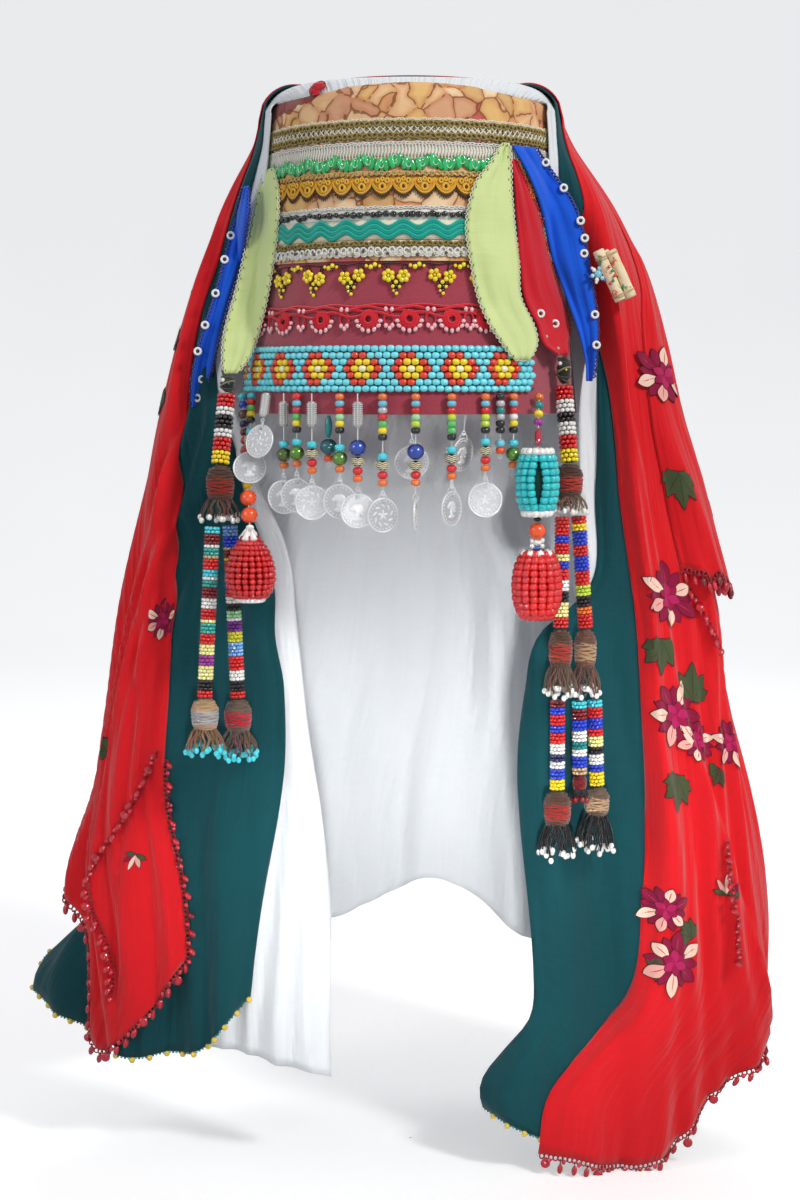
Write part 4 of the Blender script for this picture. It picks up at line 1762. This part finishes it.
heap = Heap()
roll_at, lean = np.array([107.2, -47, 72.6]), about("Y", 155)
for offset, radius, long in (((-3.1, 0, 0.8), 2.9, 27), ((2.9, -0.2, -1.0), 3.1, 29),
                             ((0, 2.4, 0), 2.6, 28)):
    heap.put(roll_shape(radius, long), roll_at + lean @ np.array(offset), axes=lean, finish=2)
for z in (-11, 10.4):
    heap.thread([circle(6.0, 18, z, lean, roll_at)], 0.45, dye(210, 180, 130), closed=True)
star = np.array([98.2, -47.5, 73])
heap.put(pearl, star, dye(120, 190, 214), (2.3, 1.6, 2.3), finish=1)
for k in range(6):
    a = math.tau * k / 6 + 0.3
    out = np.array([math.cos(a), -0.15, math.sin(a)])
    heap.put(pearl, star + out * 3.1, (WHITE, dye(150, 214, 228))[k % 2], (1.25, 1.0, 1.25),
             finish=1)
    heap.put(pearl, star + out * 4.5, (WHITE, dye(60, 90, 190))[k % 2], 0.85, finish=1)
for k, (dx, dz) in enumerate(((3.4, 3.6), (5.2, 1.6), (6.4, -1.0), (5.6, -3.6), (4.0, -5.2))):
    heap.put(pearl, star + [dx + 2, -3.6, dz], (dye(196, 40, 50), dye(24, 130, 90))[k % 2], 0.9,
             finish=1)
heap.piece("rolled_amulet", "cream_cotton", [yarn, glass, cream_cloth], "amulet_roll")

heap = Heap()
# on the cap's shoulder, at a turn and an angle up it
turn, up, stands_off = math.radians(-41), math.radians(40), 15.2
r = crown_flat_r + stands_off * math.cos(up)
middle = np.array([r * math.sin(turn), -r * math.cos(turn), cap_h + stands_off * math.sin(up)])
facing = about("Z", -41) @ about("X", 50)
for petals, radius, rise, squash in ((6, 3.4, 0.3, 0.75), (5, 2.3, 1.2, 0.7), (3, 1.1, 1.9, 0.8)):
    for k in range(petals):
        a = math.tau * (k + 0.5 * (petals % 2)) / petals
        tilt = facing @ about("Z", math.degrees(a)) @ about("Y", 28)
        heap.put(round_bead, middle + facing @ np.array([radius * math.cos(a),
                                                         radius * math.sin(a), rise]),
                 toned(dye(206, 26, 46), 0.8 + 0.35 * (k % 2)),
                 (1.3 + radius * 0.2, 2.0 * squash + 0.4, 0.75), tilt)
heap.thread([helix(lambda s: 4.6 * (1 - s) + 0.6, -1.8, 3, 40) @ facing.T + middle], 0.5,
            dye(170, 14, 34))
heap.piece("cloth_rosette", "red_cotton", [yarn], "red_knot")

# %% [markdown]
# ## Flowers on the red muslin
#
# The muslin is block printed with open flowers, leaves and sprigs. A print could be a picture on
# the cloth, but this scene keeps to geometry and node finishes, so each blossom is a thin patch
# that lies about a millimetre over the cloth, and follows its folds.

# %% Petals and leaves
print_ink = Finish("block_print", Sheen_Weight=0.2, Specular_IOR_Level=0.2, Roughness=0.85)
print_ink.set(Base_Color=print_ink.mix(print_ink.noise(print_ink.place(), 240.0, 4) * 0.12,
                                       print_ink.tint(), dye(206, 12, 28)))
print_ink.bump(print_ink.noise(print_ink.place(), 900.0, 2), 0.0001, 0.5)


def petal_patch(parts, at, away, long, wide, colour, tip=0.9, teeth=0, rim=0.0):
    """One petal or leaf as a flat grid, x along it and y across, over its dark outline."""
    a = math.radians(away)
    for grown, tone in ((rim, INK_DARK), (0, colour)) if rim else ((0, colour),):
        bm = bmesh.new()
        bmesh.ops.create_grid(bm, x_segments=9, y_segments=4, size=0.5)
        for vert in bm.verts:
            s, c = vert.co.x + 0.5, vert.co.y * 2
            half = wide / 2 * math.sin(math.pi * min(1, max(0.03, s) ** tip)) ** 0.8
            if teeth:
                half *= 1 + 0.3 * math.cos(s * math.tau * teeth)
            x, y = s * (long + 2 * grown) - grown, c * (half + grown)
            vert.co = (at[0] + x * math.cos(a) - y * math.sin(a),
                       at[1] + x * math.sin(a) + y * math.cos(a), 0)
        parts.append((shape(bm), tone))


INK_CREAM, INK_PINK, INK_WINE = dye(242, 208, 186), dye(234, 172, 160), dye(134, 14, 60)
INK_LEAF, INK_DARK = dye(40, 84, 52), dye(64, 16, 26)


def spoke(size, away):
    return size * math.cos(math.radians(away)), size * math.sin(math.radians(away))


def blossom(size, spin):
    parts = []
    for k in range(6):
        petal_patch(parts, (0, 0), spin + 60 * k + 30, size * 0.92, size * 0.4, INK_WINE, 1.1,
                    rim=0.35)
    for k in range(6):
        away = spin + 60 * k + 5 * math.sin(k * 2 + spin)
        long = size * (0.8 + 0.14 * math.sin(k * 1.7 + spin))
        petal_patch(parts, spoke(size * 0.26, away), away, long, size * 0.42,
                    (INK_CREAM, INK_WINE, INK_CREAM, INK_PINK, INK_CREAM, INK_WINE)[k],
                    1.2, rim=0.4)
        petal_patch(parts, spoke(size * 0.4, away), away, long * 0.6, 0.5, dye(180, 60, 80))
    for k in range(6):
        petal_patch(parts, (0, 0), spin + 60 * k + 12, size * 0.46, size * 0.3,
                    (dye(150, 16, 70), dye(178, 30, 92))[k % 2], 1, rim=0.2)
    return parts


def leaf(size, spin):
    parts = []
    for turn, long in ((-62, 0.6), (62, 0.6), (-32, 0.82), (32, 0.82), (0, 1)):
        petal_patch(parts, (0, 0), spin + turn, size * long, size * 0.36, INK_LEAF, 0.95, 3, 0.4)
    for turn, long in ((-32, 0.7), (32, 0.7), (0, 0.9)):
        petal_patch(parts, (0, 0), spin + turn, size * long, 0.5, dye(40, 50, 40))
    return parts


def sprig(size, spin):
    parts = []
    for k, turn in enumerate((0, 42, -42, 78, -78)):
        petal_patch(parts, (0, 0), spin + turn, size * (1 - 0.1 * k), size * 0.26,
                    (INK_CREAM, INK_PINK, INK_WINE, INK_LEAF, INK_LEAF)[k], 1.1, rim=0.3)
    return parts


drawings = {"blossom": blossom, "leaf": leaf, "sprig": sprig}


print_lift, under_lift, part_lift = 1.15, 0.16, 0.025


def printed(heap, scarf, turn, z, parts):
    """Lays a flat drawing on the scarf at a turn and height, a little above the cloth."""
    base, beside = scarf.at(np.array([turn, turn + 1.0]), np.array([z, z], float))
    a_mm = 1 / np.linalg.norm(beside - base)
    for k, ((corners, faces), colour) in enumerate(parts):
        x, y = corners[:, 0], corners[:, 1]
        lift = print_lift - (under_lift if colour is INK_DARK else 0) + part_lift * k
        heap.put((scarf.at(turn - x * a_mm, z + y, lift), faces), colour=colour)


# on the red scarf as it shows from the front: x and height in millimetres, size and spin
front_prints = [
    ("blossom", 138, -99, 17, 24), ("leaf", 135, -122, 19, 262), ("leaf", 153, -156, 21, 84),
    ("blossom", 143, -163, 17, 58), ("blossom", 155, -178, 12, 10), ("leaf", 144, -196, 20, 250),
    ("blossom", 174, -180, 13, 40), ("leaf", 168, -194, 12, 230), ("blossom", 137, -267, 13, 74),
    ("leaf", 132, -294, 12, 262), ("blossom", 142, -296, 16, 20), ("sprig", 172, -262, 12, 80),
    ("leaf", 152, -284, 13, 120), ("leaf", -136, 12, 17, 250), ("sprig", -131, 36, 12, 70),
    ("leaf", -154, -83, 12, 200), ("blossom", -134, -112, 11, 30), ("leaf", -167, -186, 12, 160),
    ("sprig", -150, -240, 9, 250)]
heap = Heap()
for kind, x, z, size, spin in front_prints:
    printed(heap, red, red.turn_of(x, z), z, drawings[kind](size, spin))
# and over its back and sides, spread by uneven steps of turn and height
back_prints, back_sizes = 30, (15, 18, 14)
for k in range(back_prints):
    draw, size = list(drawings.values())[k % 3], back_sizes[k % 3]
    printed(heap, red, -80 + (k * 37 % 168), 66 - (k * 53 % 296), draw(size, k * 47))
heap.piece("printed_flowers", "red_muslin", [print_ink])
heap = Heap()
for kind, x, z, size, spin in (("blossom", 135, 20, 16, 75), ("leaf", 143, -32, 20, 265)):
    printed(heap, fold, fold.turn_of(x, z), z, drawings[kind](size, spin))
for kind, turn, z, size, spin in (("leaf", 80, 50, 15, 250), ("blossom", 72, -20, 14, 10),
                                  ("sprig", 88, -58, 11, 60)):
    printed(heap, fold, turn, z, drawings[kind](size, spin))
heap.piece("printed_flowers_on_fold", "red_muslin", [print_ink])

# %% [markdown]
# ## Edgings on the hems
#
# The red hem has a crocheted edge with drop beads on stalks, and the teal one a line of small
# turquoise beads with a gold bead every centimetre. Both follow the hem's own points.

# %% Hem beads
def hem_line(scarf, step):
    """Points a step apart along the hem, and their ways down."""
    u = np.linspace(0, 1, 700)
    line = scarf.side(u, np.ones(700))
    ways = spaced(line, step, line - scarf.side(u, np.full(700, 0.97)))
    return spaced(line, step), ways / np.linalg.norm(ways, axis=1, keepdims=True)


heap = Heap()
OYA, OYA_DARK = dye(176, 8, 28), dye(112, 6, 22)


def red_edging(points, ways, stalks, long=4.5):
    """Crocheted loops, and beads on stalks of about a length at every so many of them."""
    loops, a = [], ring_angles(7)
    for k, (point, way) in enumerate(zip(points, ways)):
        side = np.cross(way, (0, -1, 0.2))
        side /= np.linalg.norm(side)
        sway = side * 0.8 * math.sin(k * 1.7)
        loops.append(point + way * 1.2 + np.outer(np.cos(a), side) * 1.3
                     + np.outer(np.sin(a), way) * 1.5)
        if k % stalks == 0:
            down = long * (0.7 + 0.6 * ((k * 7) % 5) / 5)
            heap.thread([point + way * np.array([[1.5], [down]]) + np.outer([0, 1], sway)], 0.35,
                        OYA_DARK)
            flat = (k * 3) % 4 == 1
            heap.put(pearl, point + way * (down + 1.8) + sway,
                     (OYA, dye(200, 28, 46), OYA_DARK)[k % 3],
                     (2.7, 0.8, 2.7) if flat else (1.6, 1.4, 2.9), basis(way), 1)
        elif k % stalks == 2:
            heap.put(pearl, point + way * 2.9 + sway, (dye(206, 44, 60), OYA)[k % 2],
                     (1.2, 1, 1.5), basis(way), 1)
    heap.thread(loops, 0.45, OYA, closed=True)


def unit(x, y, z):
    return np.array([x, y, z]) / math.sqrt(x * x + y * y + z * z)


red_edging(*hem_line(red, 2.6), 3)
line = spaced(red.side(np.zeros(400), np.linspace(0.76, 1.0, 400)), 2.6)
red_edging(line, np.tile(unit(0.55, -0.5, -0.4), (len(line), 1)), 4, 3)
red_edging(*hem_line(fold, 2.4), 2)
# the turned hem of the left side, and of the layer under the fold
for path, way in (([(-137, -182), (-146, -204), (-157, -222), (-170, -242), (-177, -256),
                    (-174, -272), (-166, -290), (-162, -306), (-164, -320)],
                   unit(-0.5, -0.5, -0.6)),
                  ([(150, -94), (156, -104), (163, -116), (168, -128)], unit(0.2, -0.6, -0.9)),
                  ([(172, -232), (174, -250), (178, -275), (180, -300)], unit(-0.2, -0.8, -0.3))):
    spots = np.array(path, float)
    reach = reach_along(spots)
    along = np.arange(1, reach[-1], 2.4)
    xs, zs = (np.interp(along, reach, spots[:, k]) for k in (0, 1))
    line = np.array([red.at(np.array([red.turn_of(x, z)]), np.array([z]), 1.0)[0]
                     for x, z in zip(xs, zs)])
    red_edging(line, np.tile(way, (len(line), 1)), 3, 3.4)
heap.piece("red_hem_edging", "red_muslin", [yarn, glass])

heap = Heap()
points, ways = hem_line(teal, 2.0)
for k, (point, way) in enumerate(zip(points, ways)):
    heap.put(dot, point + way * 0.6, (dye(80, 170, 160), dye(20, 90, 90))[k % 2], 0.75, finish=1)
    if k % 5 == 0:
        heap.put(pearl, point + way * 1.5, dye(232, 190, 60), 1.75, finish=1)
heap.thread([points], 0.4, dye(16, 84, 86))
heap.piece("teal_hem_beads", "teal_crepe", [yarn, glass])


print("nine cloths are declared")

# %% Sizes and the end
print("triangles added:", sum(made_faces.values()))
